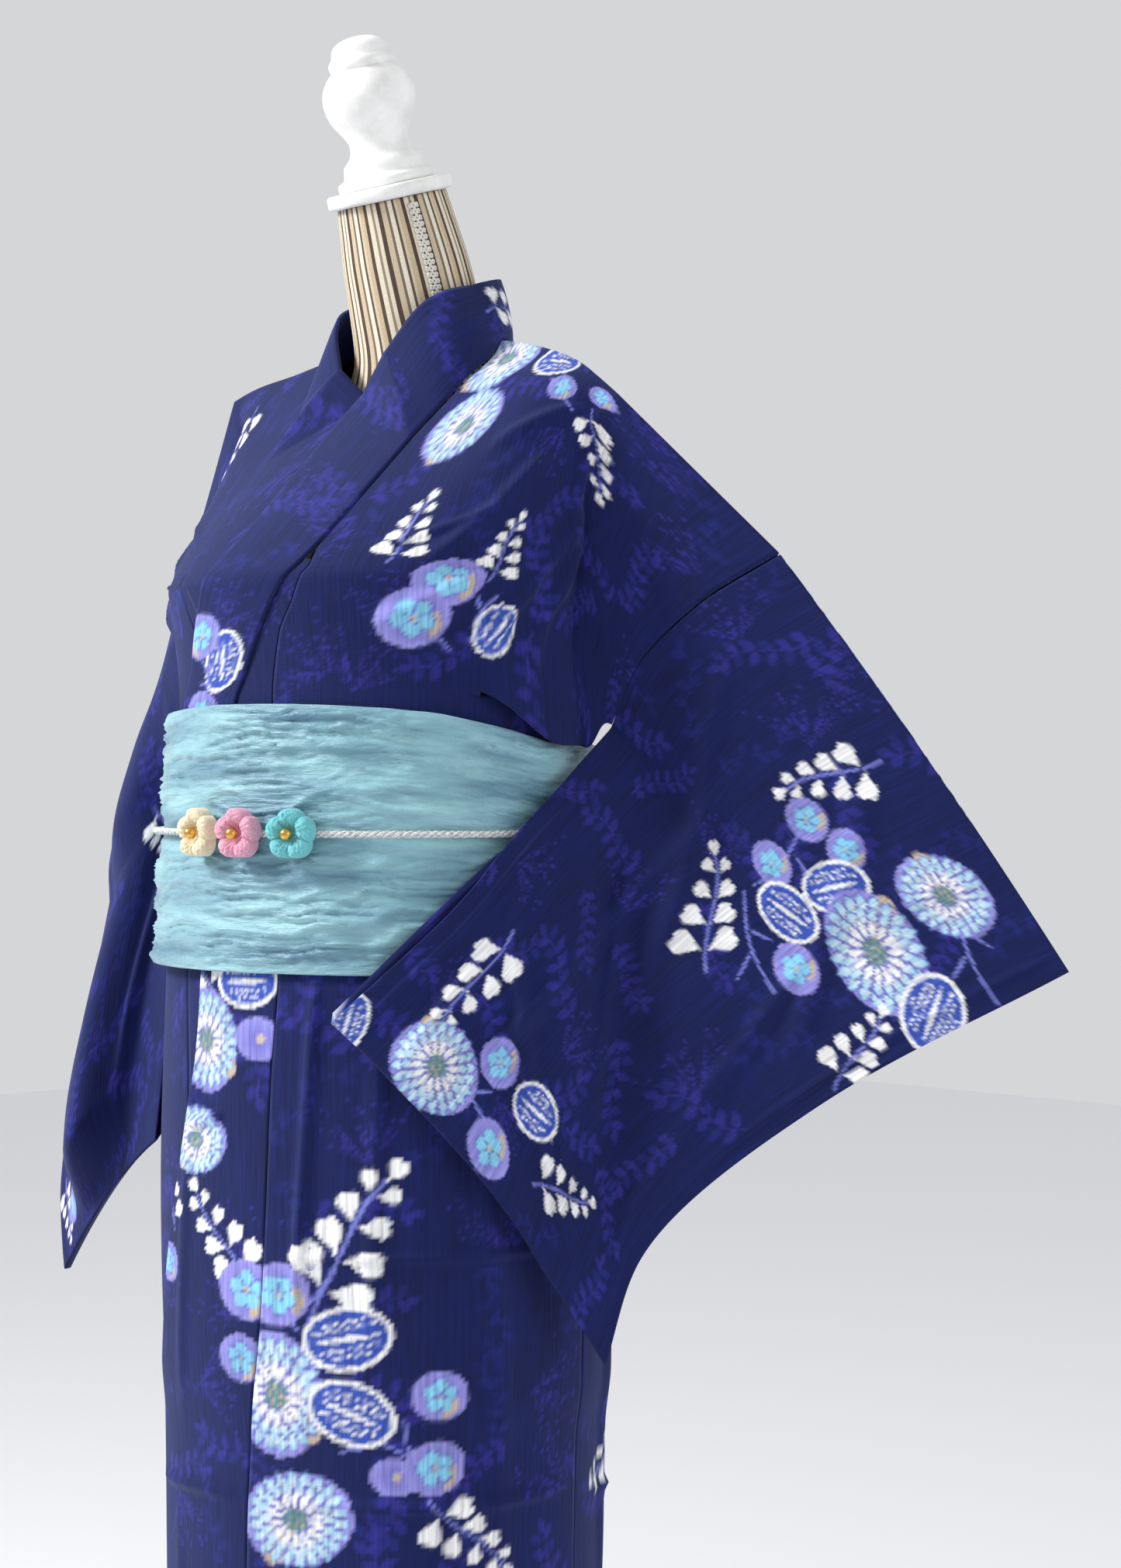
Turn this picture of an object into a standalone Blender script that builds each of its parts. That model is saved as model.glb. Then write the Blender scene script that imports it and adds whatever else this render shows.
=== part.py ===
"""Cotton yukata robe tied with a sash, on a limbless dress form with a turned stand.

Metres, +Z up, the front faces -Y and the wearer's left is +X. Every cloth piece is a thin wall
laid on two shared surfaces: body rings below the sash line, and a shoulder drape above it.
"""
import bpy
import numpy as np

# Driving sizes
CLOTH = 0.0015
COLLAR_CLOTH = 0.003
TIE_Z = 1.187
CHEST_Z = 1.262
HEM_Z = 0.055
CHEST_ROW = 0.70
VALLEY = 0.72
SIDE_ANGLE = 100.0
UNDERARM_ANGLE = 22.0
SLIT_ANGLE = 2.6
LAP_LIFT = 0.0042
CHEST_LIFT = 0.0075
SLEEVE_DEPTH = 0.49
SLEEVE_WIDTH = 0.33

NAVY = (0.006, 0.012, 0.085)
TEAL = (0.16, 0.33, 0.38)
WHITE = (0.85, 0.85, 0.84)

# Rings of the body: height, half width, half depth, shift of the centre along Y
RINGS = {
    "z": (0.05, 0.35, 0.62, 0.70, 0.74, 0.86, 1.00, 1.10, 1.187, 1.262),
    "half_width": (0.158, 0.160, 0.162, 0.164, 0.169, 0.170, 0.164, 0.158, 0.156, 0.164),
    "half_depth": (0.130, 0.131, 0.133, 0.134, 0.137, 0.140, 0.138, 0.132, 0.128, 0.136),
}

# Shoulder ridge from the right armhole to the left one: column, place
RIDGE = {
    "column": (-1.00, -0.86, -0.72, -0.45, -0.22, 0.00, 0.22, 0.45, 0.72, 0.86, 1.00),
    "x": (-0.277, -0.250, -0.205, -0.135, -0.068, 0.000, 0.068, 0.130, 0.190, 0.228, 0.280),
    "y": (0.042, 0.036, 0.034, 0.036, 0.042, 0.045, 0.042, 0.037, 0.034, 0.060, 0.090),
    "z": (1.285, 1.368, 1.417, 1.431, 1.440, 1.442, 1.434, 1.419, 1.384, 1.333, 1.278),
}

# Armhole seams, down from the ridge to the armpit: row, place
ARMHOLES = {
    "left_front": ((0, 0.280, 0.090, 1.278), (0.35, 0.235, 0.060, 1.245),
                   (0.7, 0.196, 0.044, 1.205), (1, 0.178, 0.040, 1.167)),
    "left_back": ((0, 0.280, 0.090, 1.278), (0.35, 0.246, 0.104, 1.245),
                  (0.7, 0.215, 0.098, 1.205), (1, 0.190, 0.085, 1.167)),
    "right_front": ((0, -0.277, 0.042, 1.285), (0.35, -0.245, 0.010, 1.240),
                    (0.7, -0.215, 0.006, 1.200), (1, -0.190, 0.012, 1.162)),
    "right_back": ((0, -0.277, 0.042, 1.285), (0.35, -0.255, 0.066, 1.240),
                   (0.7, -0.225, 0.074, 1.200), (1, -0.195, 0.075, 1.162)),
}


def smooth(x, xs, ys):
    """Monotone cubic through a short table."""
    xs = np.asarray(xs, float)
    ys = np.asarray(ys, float)
    i = int(np.clip(np.searchsorted(xs, x) - 1, 0, len(xs) - 2))
    step = np.diff(xs)
    slope = np.diff(ys, axis=0) / (step if ys.ndim == 1 else step[:, None])
    before = slope[max(i - 1, 0)]
    here = slope[i]
    after = slope[min(i + 1, len(slope) - 1)]
    start = np.where(before * here > 0, 2 * before * here / (before + here + 1e-12), 0.0)
    end = np.where(after * here > 0, 2 * after * here / (after + here + 1e-12), 0.0)
    if i == 0:
        start = here
    if i == len(slope) - 1:
        end = here
    h = step[i]
    u = np.clip((x - xs[i]) / h, 0, 1)
    return (ys[i] * (1 + 2 * u) * (1 - u) ** 2 + ys[i + 1] * u * u * (3 - 2 * u)
            + h * start * u * (1 - u) ** 2 + h * end * u * u * (u - 1))


def ease(u):
    u = min(max(u, 0.0), 1.0)
    return u * u * (3 - 2 * u)


def ring_point(angle, z, out=0.0):
    """Point of the body's ring at an angle from the front, towards the wearer's left."""
    a = smooth(z, RINGS["z"], RINGS["half_width"]) + out
    b = smooth(z, RINGS["z"], RINGS["half_depth"]) + out
    turn = np.radians(angle)
    return np.array([a * np.sin(turn), -b * np.cos(turn), z])


def ridge_point(q):
    return np.array([smooth(q, RIDGE["column"], RIDGE[axis]) for axis in "xyz"])


def armhole_point(name, row):
    table = np.array(ARMHOLES[name])
    return smooth(row, table[:, 0], table[:, 1:])


def front_angle(q):
    return SIDE_ANGLE * q / VALLEY


def back_angle(q, row):
    """The back's side edge parts from the front's above the sash, as an open underarm slit."""
    edge = SIDE_ANGLE + UNDERARM_ANGLE * (1 - ease((row - 0.76) / 0.20))
    edge += SLIT_ANGLE * min(1.0, max(0.0, (1 - row) / 0.015))
    return np.copysign(180.0 - (180.0 - edge) * abs(q) / VALLEY, q)


def drape(q, row, face):
    """Body surface: row 0 is the shoulder ridge, row 1 the tie line, then rings down to the hem."""
    angle = front_angle(q) if face == "front" else back_angle(q, row)
    if abs(q) > VALLEY:
        side = "left" if q > 0 else "right"
        part = (abs(q) - VALLEY) / (1 - VALLEY)
        valley = drape(np.copysign(VALLEY, q), row, face)
        return valley * (1 - part) + armhole_point(side + "_" + face, min(row, 1)) * part
    if row >= 1:
        return ring_point(angle, TIE_Z - (row - 1))
    if row >= CHEST_ROW:
        low = (row - CHEST_ROW) / (1 - CHEST_ROW)
        return ring_point(angle, CHEST_Z + (TIE_Z - CHEST_Z) * low)
    turn = np.pi / 2 * row / CHEST_ROW
    ridge = ridge_point(q)
    chest = ring_point(angle, CHEST_Z)
    bulge = 0.10 + 0.7 * ease((abs(q) - 0.25) / (VALLEY - 0.25)) if face == "front" else 1.0
    point = ridge + (chest - ridge) * np.sin(turn)
    fall = (1 - bulge) * np.sin(turn) + bulge * (1 - np.cos(turn))
    point[2] = ridge[2] + (chest[2] - ridge[2]) * fall
    return point


def drape_normal(q, row, face):
    """Outward normal of the drape, from small steps along both directions."""
    step = 0.01
    across = drape(min(q + step, 1), row, face) - drape(max(q - step, -1), row, face)
    down = drape(q, row + step, face) - drape(q, max(row - step, 0), face)
    if np.linalg.norm(across) < 1e-6:
        across = drape(q - step, row, face) - drape(q - 3 * step, row, face)
    normal = np.cross(across, down)
    if face == "front":
        normal = -normal
    return normal / np.linalg.norm(normal)


def lift_of_left(q, row):
    """How far the left front lies out, to clear the right front under it."""
    most = CHEST_LIFT + (LAP_LIFT - CHEST_LIFT) * ease((row - CHEST_ROW) / (1 - CHEST_ROW))
    return most * ease((VALLEY - q) / 0.36) * ease(row / 0.12)


# Sewn lines of the left front on the drape, as row and column; the right front mirrors them
COLLAR_SEAM = ((0.0, 0.240), (0.055, 0.262), (0.12, 0.250), (0.24, 0.219), (0.36, 0.200),
               (0.53, 0.176), (0.66, 0.150), (0.76, 0.108), (0.84, 0.075), (1.0, 0.012),
               (1.10, -0.030), (1.177, -0.058), (1.24, -0.066), (1.30, -0.110), (1.41, -0.205),
               (1.50, -0.262), (1.60, -0.275), (2.14, -0.285))
OKUMI_SEAM = ((0.0, 0.240), (0.055, 0.262), (0.12, 0.250), (0.24, 0.219), (0.36, 0.200),
              (0.53, 0.176), (0.62, 0.178), (0.74, 0.152), (0.84, 0.116), (1.0, 0.094),
              (1.176, 0.124), (1.25, 0.110), (1.35, 0.098), (1.41, 0.085), (1.48, 0.060),
              (1.57, 0.047), (2.14, 0.040))
OKUMI_TIP_ROW = 0.60
COLLAR_END_ROW = 1.12
NAPE_ROW = 0.242
NECK_COLUMN = 0.240
SLIT_COLUMN = 0.46
FLAP_REACH = 0.013
FLAP_DROP = 0.036
LAST_ROW = 1 + TIE_Z - HEM_Z

# Free edge of the collar on the lap: seam row, free row, free column
COLLAR_LAP = ((0.25, 0.140, -0.008), (0.33, 0.22, -0.006), (0.42, 0.31, -0.001), (0.53, 0.42, 0.000),
              (0.60, 0.50, -0.006), (0.69, 0.62, -0.025), (0.78, 0.74, -0.058), (0.87, 0.85, -0.100),
              (0.94, 0.93, -0.130), (1.00, 1.00, -0.170), (1.12, 1.12, -0.190))
# The same up the neck, where the collar stands clear of the neck: seam row, x, y, z
COLLAR_NECK = ((0.0, 0.057, 0.038, 1.474), (0.06, 0.055, 0.011, 1.463), (0.12, 0.044, -0.005, 1.446),
               (0.18, 0.026, -0.0165, 1.418))
# And round the back of the neck: back row, x, y, z
COLLAR_BACK = ((0.0, 0.057, 0.038, 1.474), (0.09, 0.053, 0.056, 1.479), (0.16, 0.043, 0.070, 1.482),
               (0.21, 0.027, 0.080, 1.484), (0.242, 0.0, 0.086, 1.485))


def line_at(table, row):
    return float(smooth(row, [r[0] for r in table], [r[1] for r in table]))


def material(name, colour, roughness, metallic=0.0):
    mat = bpy.data.materials.new(name)
    mat.use_nodes = True
    shader = mat.node_tree.nodes["Principled BSDF"]
    shader.inputs["Base Color"].default_value = (*colour, 1)
    shader.inputs["Roughness"].default_value = roughness
    shader.inputs["Metallic"].default_value = metallic
    return mat


def add_mesh(name, verts, faces, mat):
    verts = np.array(verts)
    volume = 0.0
    for face in faces:
        for i in range(1, len(face) - 1):
            volume += np.dot(verts[face[0]], np.cross(verts[face[i]], verts[face[i + 1]]))
    if volume < 0:
        faces = [face[::-1] for face in faces]
    mesh = bpy.data.meshes.new(name)
    mesh.from_pydata(verts.tolist(), [], faces)
    mesh.materials.append(mat)
    mesh.shade_smooth()
    obj = bpy.data.objects.new(name, mesh)
    bpy.context.scene.collection.objects.link(obj)
    return obj


def wall(name, grid, mat, thickness=CLOTH, missing=(), wrap=False):
    """Closed cloth wall round a grid of middle points; missing cells are (row, column) pairs."""
    grid = np.asarray(grid, float)
    rows, cols = grid.shape[:2]
    span = cols if wrap else cols - 1
    cells = [(r, c) for r in range(rows - 1) for c in range(span) if (r, c) not in missing]
    normals = np.zeros_like(grid)
    quads = []
    for r, c in cells:
        d = (c + 1) % cols
        corners = ((r, c), (r, d), (r + 1, d), (r + 1, c))
        across = grid[r + 1, d] - grid[r, c]
        other = grid[r + 1, c] - grid[r, d]
        face = np.cross(across, other)
        face /= np.linalg.norm(face) + 1e-15
        for corner in corners:
            normals[corner] += face
        quads.append(corners)
    length = np.linalg.norm(normals, axis=2, keepdims=True)
    normals = normals / np.where(length > 0, length, 1)
    used = sorted({corner for quad in quads for corner in quad})
    index = {corner: i for i, corner in enumerate(used)}
    count = len(used)
    verts = [grid[u] + normals[u] * thickness / 2 for u in used]
    verts += [grid[u] - normals[u] * thickness / 2 for u in used]
    faces = []
    edges = {}
    for quad in quads:
        i = [index[corner] for corner in quad]
        faces += [(i[0], i[1], i[2]), (i[0], i[2], i[3])]
        faces += [(i[2] + count, i[1] + count, i[0] + count),
                  (i[3] + count, i[2] + count, i[0] + count)]
        for a, b in zip(i, i[1:] + i[:1]):
            edges[(a, b)] = edges.get((a, b), 0) + 1
    for a, b in edges:
        if (b, a) not in edges:
            faces += [(b, a, a + count), (b, a + count, b + count)]
    return add_mesh(name, verts, faces, mat)


def panel_point(q, row, face, lift=0.0):
    return drape(q, row, face) + drape_normal(q, row, face) * lift


def flap_point(q, row, point, normal):
    """Loose side of the left front, which hangs out over the sash's edge below the armpit."""
    part = ease((q - SLIT_COLUMN) / 0.20)
    low = ease((row - 0.80) / 0.20)
    reach = FLAP_REACH * low * min(1.0, 3.0 * max(0.0, (q - SLIT_COLUMN)) / 0.20)
    if q > VALLEY:
        part = 1 - ease((q - VALLEY) / (1 - VALLEY))
        reach = FLAP_REACH * low * part
    return point + normal * reach - np.array([0, 0, FLAP_DROP * part * low])


FRONT_ROWS = (0.0, 0.06, 0.12, 0.18, 0.25, 0.33, 0.42, 0.53, 0.60, 0.69, 0.78, 0.87, 0.94, 0.985)
LOWER_ROWS = (1.0, 1.06, 1.12, 1.18, 1.25, 1.33, 1.41, 1.485, 1.53, 1.62, 1.74, 1.88, 2.01)
BACK_ROWS = (0.0, 0.09, 0.16, 0.21, NAPE_ROW, 0.33, 0.42, 0.51, 0.60, 0.70, 0.80, 0.90, 0.985)
MAIN_COLUMNS = 10
WING_COLUMNS = 4


def body_panel(side):
    """One half of the body: front hem up over the shoulder and down to the back hem."""
    sign = 1 if side == "left" else -1
    grid = []
    kinds = [("front", r) for r in (LAST_ROW,) + LOWER_ROWS[::-1] + FRONT_ROWS[::-1]]
    kinds += [("back", r) for r in BACK_ROWS[1:] + LOWER_ROWS + (LAST_ROW,)]
    for face, row in kinds:
        if face == "front":
            inner = line_at(OKUMI_SEAM, row) + 0.0012
        else:
            inner = 0.0011 + neckline(row)
        side_column = VALLEY - 0.0012
        line = []
        for c in range(MAIN_COLUMNS + WING_COLUMNS + 1):
            if c <= MAIN_COLUMNS:
                q = inner + (side_column - inner) * c / MAIN_COLUMNS
            else:
                q = VALLEY + (1 - VALLEY) * (c - MAIN_COLUMNS) / WING_COLUMNS
                q = min(q, 0.9985)
            lift = lift_of_left(q, row) if side == "left" and face == "front" else 0.0
            if row > 1 and q > VALLEY:
                line.append(np.zeros(3))
                continue
            normal = drape_normal(sign * min(q, VALLEY - 0.011), row, face)
            point = drape(sign * q, row, face) + normal * lift
            if side == "left" and face == "front" and row < 1:
                point = flap_point(q, row, point, normal)
            line.append(point)
        grid.append(line if side == "left" else line[::-1])
    missing = set()
    columns = MAIN_COLUMNS + WING_COLUMNS
    for r in range(len(kinds) - 1):
        low = max(kinds[r][1], kinds[r + 1][1])
        for c in range(columns):
            outer = c if side == "left" else columns - 1 - c
            wing = outer >= MAIN_COLUMNS and low >= (0.98 if kinds[r][0] == "back" else 1)
            q_here = kinds[r][0] == "front" and low == 1.0
            flap = q_here and side == "left" and outer >= MAIN_COLUMNS - 4
            if wing or flap:
                missing.add((r, c))
    return wall("body_" + side, grid, cotton, missing=missing)


def okumi_panel(side):
    """The overlap panel between the body front and the collar, down to the hem."""
    sign = 1 if side == "left" else -1
    rows = (OKUMI_TIP_ROW, 0.69, 0.78, 0.87, 0.94, 0.985) + LOWER_ROWS + (LAST_ROW,)
    grid = []
    for row in rows[::-1]:
        outer = line_at(OKUMI_SEAM, row) - 0.0012
        inner = line_at(COLLAR_SEAM, row) + 0.0012
        line = []
        for c in range(5):
            q = inner + (outer - inner) * c / 4
            lift = lift_of_left(q, row) if side == "left" else 0.0
            line.append(panel_point(sign * q, row, "front", lift))
        grid.append(line if side == "left" else line[::-1])
    return wall("okumi_" + side, grid, cotton)


def neckline(row):
    """Column of the back neckline at a row between the shoulder and the nape."""
    return NECK_COLUMN * np.sqrt(max(0.0, 1 - (row / NAPE_ROW) ** 2))


def lap_section(sign, seam_row):
    """Collar section that lies on the chest."""
    extra = COLLAR_CLOTH / 2 - CLOTH / 2
    q = line_at(COLLAR_SEAM, seam_row) - 0.0014
    free_row, free_q = (float(v) for v in table_point(COLLAR_LAP, seam_row))
    section = []
    for part in (0, 0.25, 0.5, 0.75, 1):
        here = q + (free_q - q) * part
        row = seam_row + (free_row - seam_row) * part
        lift = lift_of_left(here, row) if sign > 0 else 0.0
        section.append(panel_point(sign * here, row, "front", lift + extra))
    return section


def collar_band():
    """One long folded band, from the lap end up round the nape and down to the other end."""
    lap_rows = [r for r in (FRONT_ROWS + LOWER_ROWS)[::-1] if 0.25 <= r <= COLLAR_END_ROW]
    neck_rows = [r for r in FRONT_ROWS[::-1] if r < 0.25]
    back_rows = [r for r in BACK_ROWS[1:] if r <= NAPE_ROW]
    half = {1: [], -1: []}
    for sign in (1, -1):
        for row in lap_rows:
            half[sign].append(lap_section(sign, row))
        for row in neck_rows:
            q = line_at(COLLAR_SEAM, row)
            lift = lift_of_left(q, row) if sign > 0 else 0.0
            seam = panel_point(sign * q, row, "front", lift)
            free = table_point(COLLAR_NECK, row) * np.array([sign, 1, 1])
            if sign > 0:
                free = free + drape_normal(0.02, 0.16, "front") * lift
            half[sign].append(stand_up(seam, free))
        for row in back_rows:
            seam = panel_point(sign * neckline(row), row, "back", 0.0)
            free = table_point(COLLAR_BACK, row) * np.array([sign, 1, 1])
            half[sign].append(stand_up(seam, free))
    grid = half[1] + half[-1][::-1][1:]
    return wall("collar", grid, cotton, thickness=COLLAR_CLOTH)


def stand_up(seam, free):
    """Collar section that stands on the neckline, just clear of the panel."""
    along = free - seam
    along /= np.linalg.norm(along)
    start = seam + along * 0.0016
    out = np.array([seam[0], seam[1] - 0.045, 0.0])
    out /= np.linalg.norm(out) + 1e-9
    section = []
    for part in (0, 0.25, 0.5, 0.75, 1):
        section.append(start + (free - start) * part + out * 0.003 * 4 * part * (1 - part))
    return section


def table_point(table, u):
    """Smooth point of a table whose first column is the station."""
    table = np.array(table)
    return smooth(u, table[:, 0], table[:, 1:])


# Sleeves: places of the corners and edge middles, and one long fold in each
SLEEVES = {
    "left": {
        "wrist": ((0, 0.440, 0.180, 1.012), (0.47, 0.322, 0.075, 0.926),
                  (0.82, 0.228, 0.012, 0.824), (1, 0.211, 0.000, 0.759)),
        "furi": ((0, 0.178, 0.040, 1.167), (0.5, 0.170, -0.068, 1.074), (1, 0.105, -0.139, 0.980)),
        "furi_back": ((0, 0.190, 0.085, 1.167), (0.5, 0.160, -0.062, 1.076),
                      (1, 0.101, -0.134, 0.986)),
        "away": (-0.68, 0.72, -0.12),
        "fold_ends": (0.0, 0.38, 1.0, 0.83),
        "fold": (0.020, -0.010, 0.005),
        "fold_width": 0.035,
        "fold_depth": -0.9,
        "top_bow": 0.006,
        "bottom_bow": 0.016,
    },
    "right": {
        "wrist": ((0, -0.410, 0.075, 1.055), (0.47, -0.382, 0.025, 0.930),
                  (0.82, -0.357, -0.015, 0.820), (1, -0.335, -0.028, 0.757)),
        "furi": ((0, -0.190, 0.012, 1.162), (0.5, -0.200, -0.022, 1.020), (1, -0.205, -0.040, 0.868)),
        "furi_back": ((0, -0.195, 0.075, 1.162), (0.5, -0.215, 0.020, 1.020),
                      (1, -0.212, -0.030, 0.872)),
        "away": (-0.20, 0.97, 0.0),
        "fold_ends": (0.42, 0.0, 0.62, 1.0),
        "fold": (0.020, -0.046, 0.0),
        "fold_width": 0.075,
        "fold_depth": 1.0,
        "top_bow": 0.004,
        "bottom_bow": 0.010,
    },
}
ARMPIT = 0.38
LAYER_GAP = 0.0060
WRIST_OPENING = 0.024
SLEEVE_DOWN = (0.0, 0.03, 0.09, 0.17, 0.25, 0.32, ARMPIT, 0.44, 0.52, 0.61, 0.70, 0.79, 0.87, 0.94, 1.0)
SLEEVE_ACROSS = (0.0016, 0.06, 0.15, 0.27, 0.40, 0.53, 0.66, 0.79, 0.90, 1.0)


def sleeve_edge(side, v, layer):
    """Edge of a sleeve layer at the body: armhole seam, then the open furi edge."""
    if v <= ARMPIT:
        return armhole_point(side + ("_front" if layer == "front" else "_back"), v / ARMPIT)
    name = "furi" if layer == "front" else "furi_back"
    return table_point(SLEEVES[side][name], (v - ARMPIT) / (1 - ARMPIT))


def sleeve_point(side, k, v, layer):
    """Point of a sleeve layer: k runs from the body to the wrist, v from the top fold down."""
    data = SLEEVES[side]
    away = np.array(data["away"])
    away /= np.linalg.norm(away)

    def left(u):
        if layer == "back":
            return sleeve_edge(side, u, "back") + away * LAYER_GAP * (1 - ease(u / 0.15))
        return sleeve_edge(side, u, "front")

    def right(u):
        mouth = WRIST_OPENING * ease(u / 0.15) * (1 - ease((u - 0.40) / 0.12))
        gap = (LAYER_GAP + mouth) if layer == "back" else 0.0
        return table_point(data["wrist"], u) + away * gap

    corners = [left(0.0), right(0.0), left(1.0), right(1.0)]
    bow = 4 * k * (1 - k)
    top = corners[0] * (1 - k) + corners[1] * k + np.array([0, 0, data["top_bow"] * bow])
    bottom = corners[2] * (1 - k) + corners[3] * k + np.array([0, 0, data["bottom_bow"] * bow])
    point = left(v) * (1 - k) + right(v) * k + top * (1 - v) + bottom * v
    point -= (corners[0] * (1 - k) + corners[1] * k) * (1 - v)
    point -= (corners[2] * (1 - k) + corners[3] * k) * v
    k0, v0, k1, v1 = data["fold_ends"]
    along = np.array([(k1 - k0) * SLEEVE_WIDTH, (v1 - v0) * SLEEVE_DEPTH])
    along /= np.linalg.norm(along)
    to_point = np.array([(k - k0) * SLEEVE_WIDTH, (v - v0) * SLEEVE_DEPTH])
    distance = to_point[0] * along[1] - to_point[1] * along[0]
    rim = ease((k - 0.10) / 0.28) * ease(v / 0.30) * ease((1 - v) / 0.15) * ease((1 - k) / 0.30)
    point += np.array(data["fold"]) * data["fold_depth"] * rim * np.exp(-(distance / data["fold_width"]) ** 2)
    if layer == "back":
        belly = 0.016 * ease(k / 0.3) * ease((1 - k) / 0.3) * ease(v / 0.3) * ease((1 - v) / 0.3)
        point += away * belly
    return keep_clear(point, 0.012 if layer == "back" else 0.020)


def keep_clear(point, margin):
    """Move a sleeve point out where it would sink into the sash or the skirt."""
    if point[2] > TIE_Z:
        return point
    a = smooth(point[2], RINGS["z"], RINGS["half_width"]) + margin
    b = smooth(point[2], RINGS["z"], RINGS["half_depth"]) + margin
    ratio = np.sqrt((point[0] / a) ** 2 + (point[1] / b) ** 2)
    if ratio < 1:
        point[:2] /= ratio
    return point


def sleeve(side):
    """A flat tube: front layer down, bottom fold, back layer up, open at the wrist and the body."""
    grid = []
    for k in SLEEVE_ACROSS:
        loop = [sleeve_point(side, k, v, "front") for v in SLEEVE_DOWN]
        loop += [sleeve_point(side, k, v, "back") for v in SLEEVE_DOWN[::-1]]
        grid.append(loop)
    return wall("sleeve_" + side, grid, cotton, wrap=True)


# Sash: angle, top edge height, how far its middle lies out from the body ring
SASH = {
    "angle": (-180, -120, -60, -34, 0, 8, 24, 52, 75, 95, 130, 180),
    "top": (1.162, 1.168, 1.174, 1.178, 1.182, 1.182, 1.181, 1.176, 1.165, 1.156, 1.156, 1.162),
    "out": (0.0028, 0.0028, 0.0030, 0.0085, 0.0085, 0.0085, 0.0074, 0.0070, 0.0048, 0.0030,
            0.0028, 0.0028),
}
SASH_CLOTH = 0.002
SASH_BOTTOM = 1.008
SASH_STEPS = 48
SASH_ROWS = 8
CORD_Z = 1.098
CORD_RADIUS = 0.0025
FLOWER_ANGLES = {"cream": -3.4, "pink": 9.2, "turquoise": 22.6}
FLOWER_RADIUS = 0.0165
FLOWER_HEIGHT = 0.012
BEAD_RADIUS = 0.004


def sash_point(angle, part, out=0.0):
    """Point of the sash; part runs from its top edge (0) to its bottom edge (1)."""
    top = smooth(angle, SASH["angle"], SASH["top"])
    z = top + (SASH_BOTTOM - top) * part
    fold = 0.0008 * (1 + np.sin(2.5 * 2 * np.pi * part + 2 * np.sin(np.radians(angle * 2))))
    return ring_point(angle, z, smooth(angle, SASH["angle"], SASH["out"]) + fold + out)


def sash():
    grid = []
    for r in range(SASH_ROWS + 1):
        angles = [-180 + 360 * c / SASH_STEPS for c in range(SASH_STEPS)]
        grid.append([sash_point(angle, r / SASH_ROWS) for angle in angles])
    return wall("obi", grid, satin, thickness=SASH_CLOTH, wrap=True)


def sash_knot():
    """Plain folded end that fastens the sash at the middle of the back, above the cord."""
    grid = []
    for z in (1.112, 1.122, 1.134, 1.146, 1.154):
        line = []
        for angle in range(160, 201, 5):
            turn = angle if angle <= 180 else angle - 360
            line.append(ring_point(turn, z, 0.0028 + 0.0016 + 0.0010 + 0.0004 + 0.005))
        grid.append(line)
    return wall("obi_knot", grid, satin, thickness=0.010)


def cord_out(angle):
    return smooth(angle, SASH["angle"], SASH["out"]) + 0.0016 + 0.0010 + 0.0004 + CORD_RADIUS


def sash_cord():
    steps = 72
    sides = 8
    verts = []
    for s in range(steps):
        angle = -180 + 360 * s / steps
        middle = ring_point(angle, CORD_Z, cord_out(angle))
        outward = ring_point(angle, CORD_Z, cord_out(angle) + 0.01) - middle
        outward /= np.linalg.norm(outward)
        for i in range(sides):
            turn = 2 * np.pi * i / sides
            offset = outward * np.cos(turn) + np.array([0, 0, 1]) * np.sin(turn)
            verts.append(middle + offset * CORD_RADIUS)
    faces = []
    for s in range(steps):
        for i in range(sides):
            a = s * sides + i
            b = s * sides + (i + 1) % sides
            c = (s + 1) % steps * sides + (i + 1) % sides
            d = (s + 1) % steps * sides + i
            faces.append((a, b, c, d))
    return add_mesh("obi_cord", verts, faces, thread)


def facing(angle, out):
    """Seat on the sash: place, outward, sideways and up directions."""
    place = ring_point(angle, CORD_Z, out)
    ahead = ring_point(angle + 1, CORD_Z, out)
    side = (ahead - place) / np.linalg.norm(ahead - place)
    up = np.array([0.0, 0, 1])
    return place, np.cross(side, up), side, up


def dome(name, place, outward, side, up, rings, steps, radius_of, height_of, mat):
    """Closed low form with a flat underside: rings of points about the outward axis."""
    verts = [place + outward * height_of(0.0, 0.0)]
    for r in range(1, rings + 1):
        for s in range(steps):
            turn = 2 * np.pi * s / steps
            u = r / rings
            reach = radius_of(turn) * u
            verts.append(place + side * reach * np.cos(turn) + up * reach * np.sin(turn)
                         + outward * height_of(u, turn))
    faces = []
    for s in range(steps):
        t = (s + 1) % steps
        faces.append((0, 1 + s, 1 + t))
        for r in range(rings - 1):
            a = 1 + r * steps
            faces.append((a + s, a + steps + s, a + steps + t, a + t))
    rim = len(verts)
    for s in range(steps):
        turn = 2 * np.pi * s / steps
        reach = radius_of(turn) * 0.86
        verts.append(place + side * reach * np.cos(turn) + up * reach * np.sin(turn))
    verts.append(place)
    last = 1 + (rings - 1) * steps
    for s in range(steps):
        t = (s + 1) % steps
        faces.append((last + s, rim + s, rim + t, last + t))
        faces.append((rim + s, rim + steps, rim + t))
    return add_mesh(name, verts, faces, mat)


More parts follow.
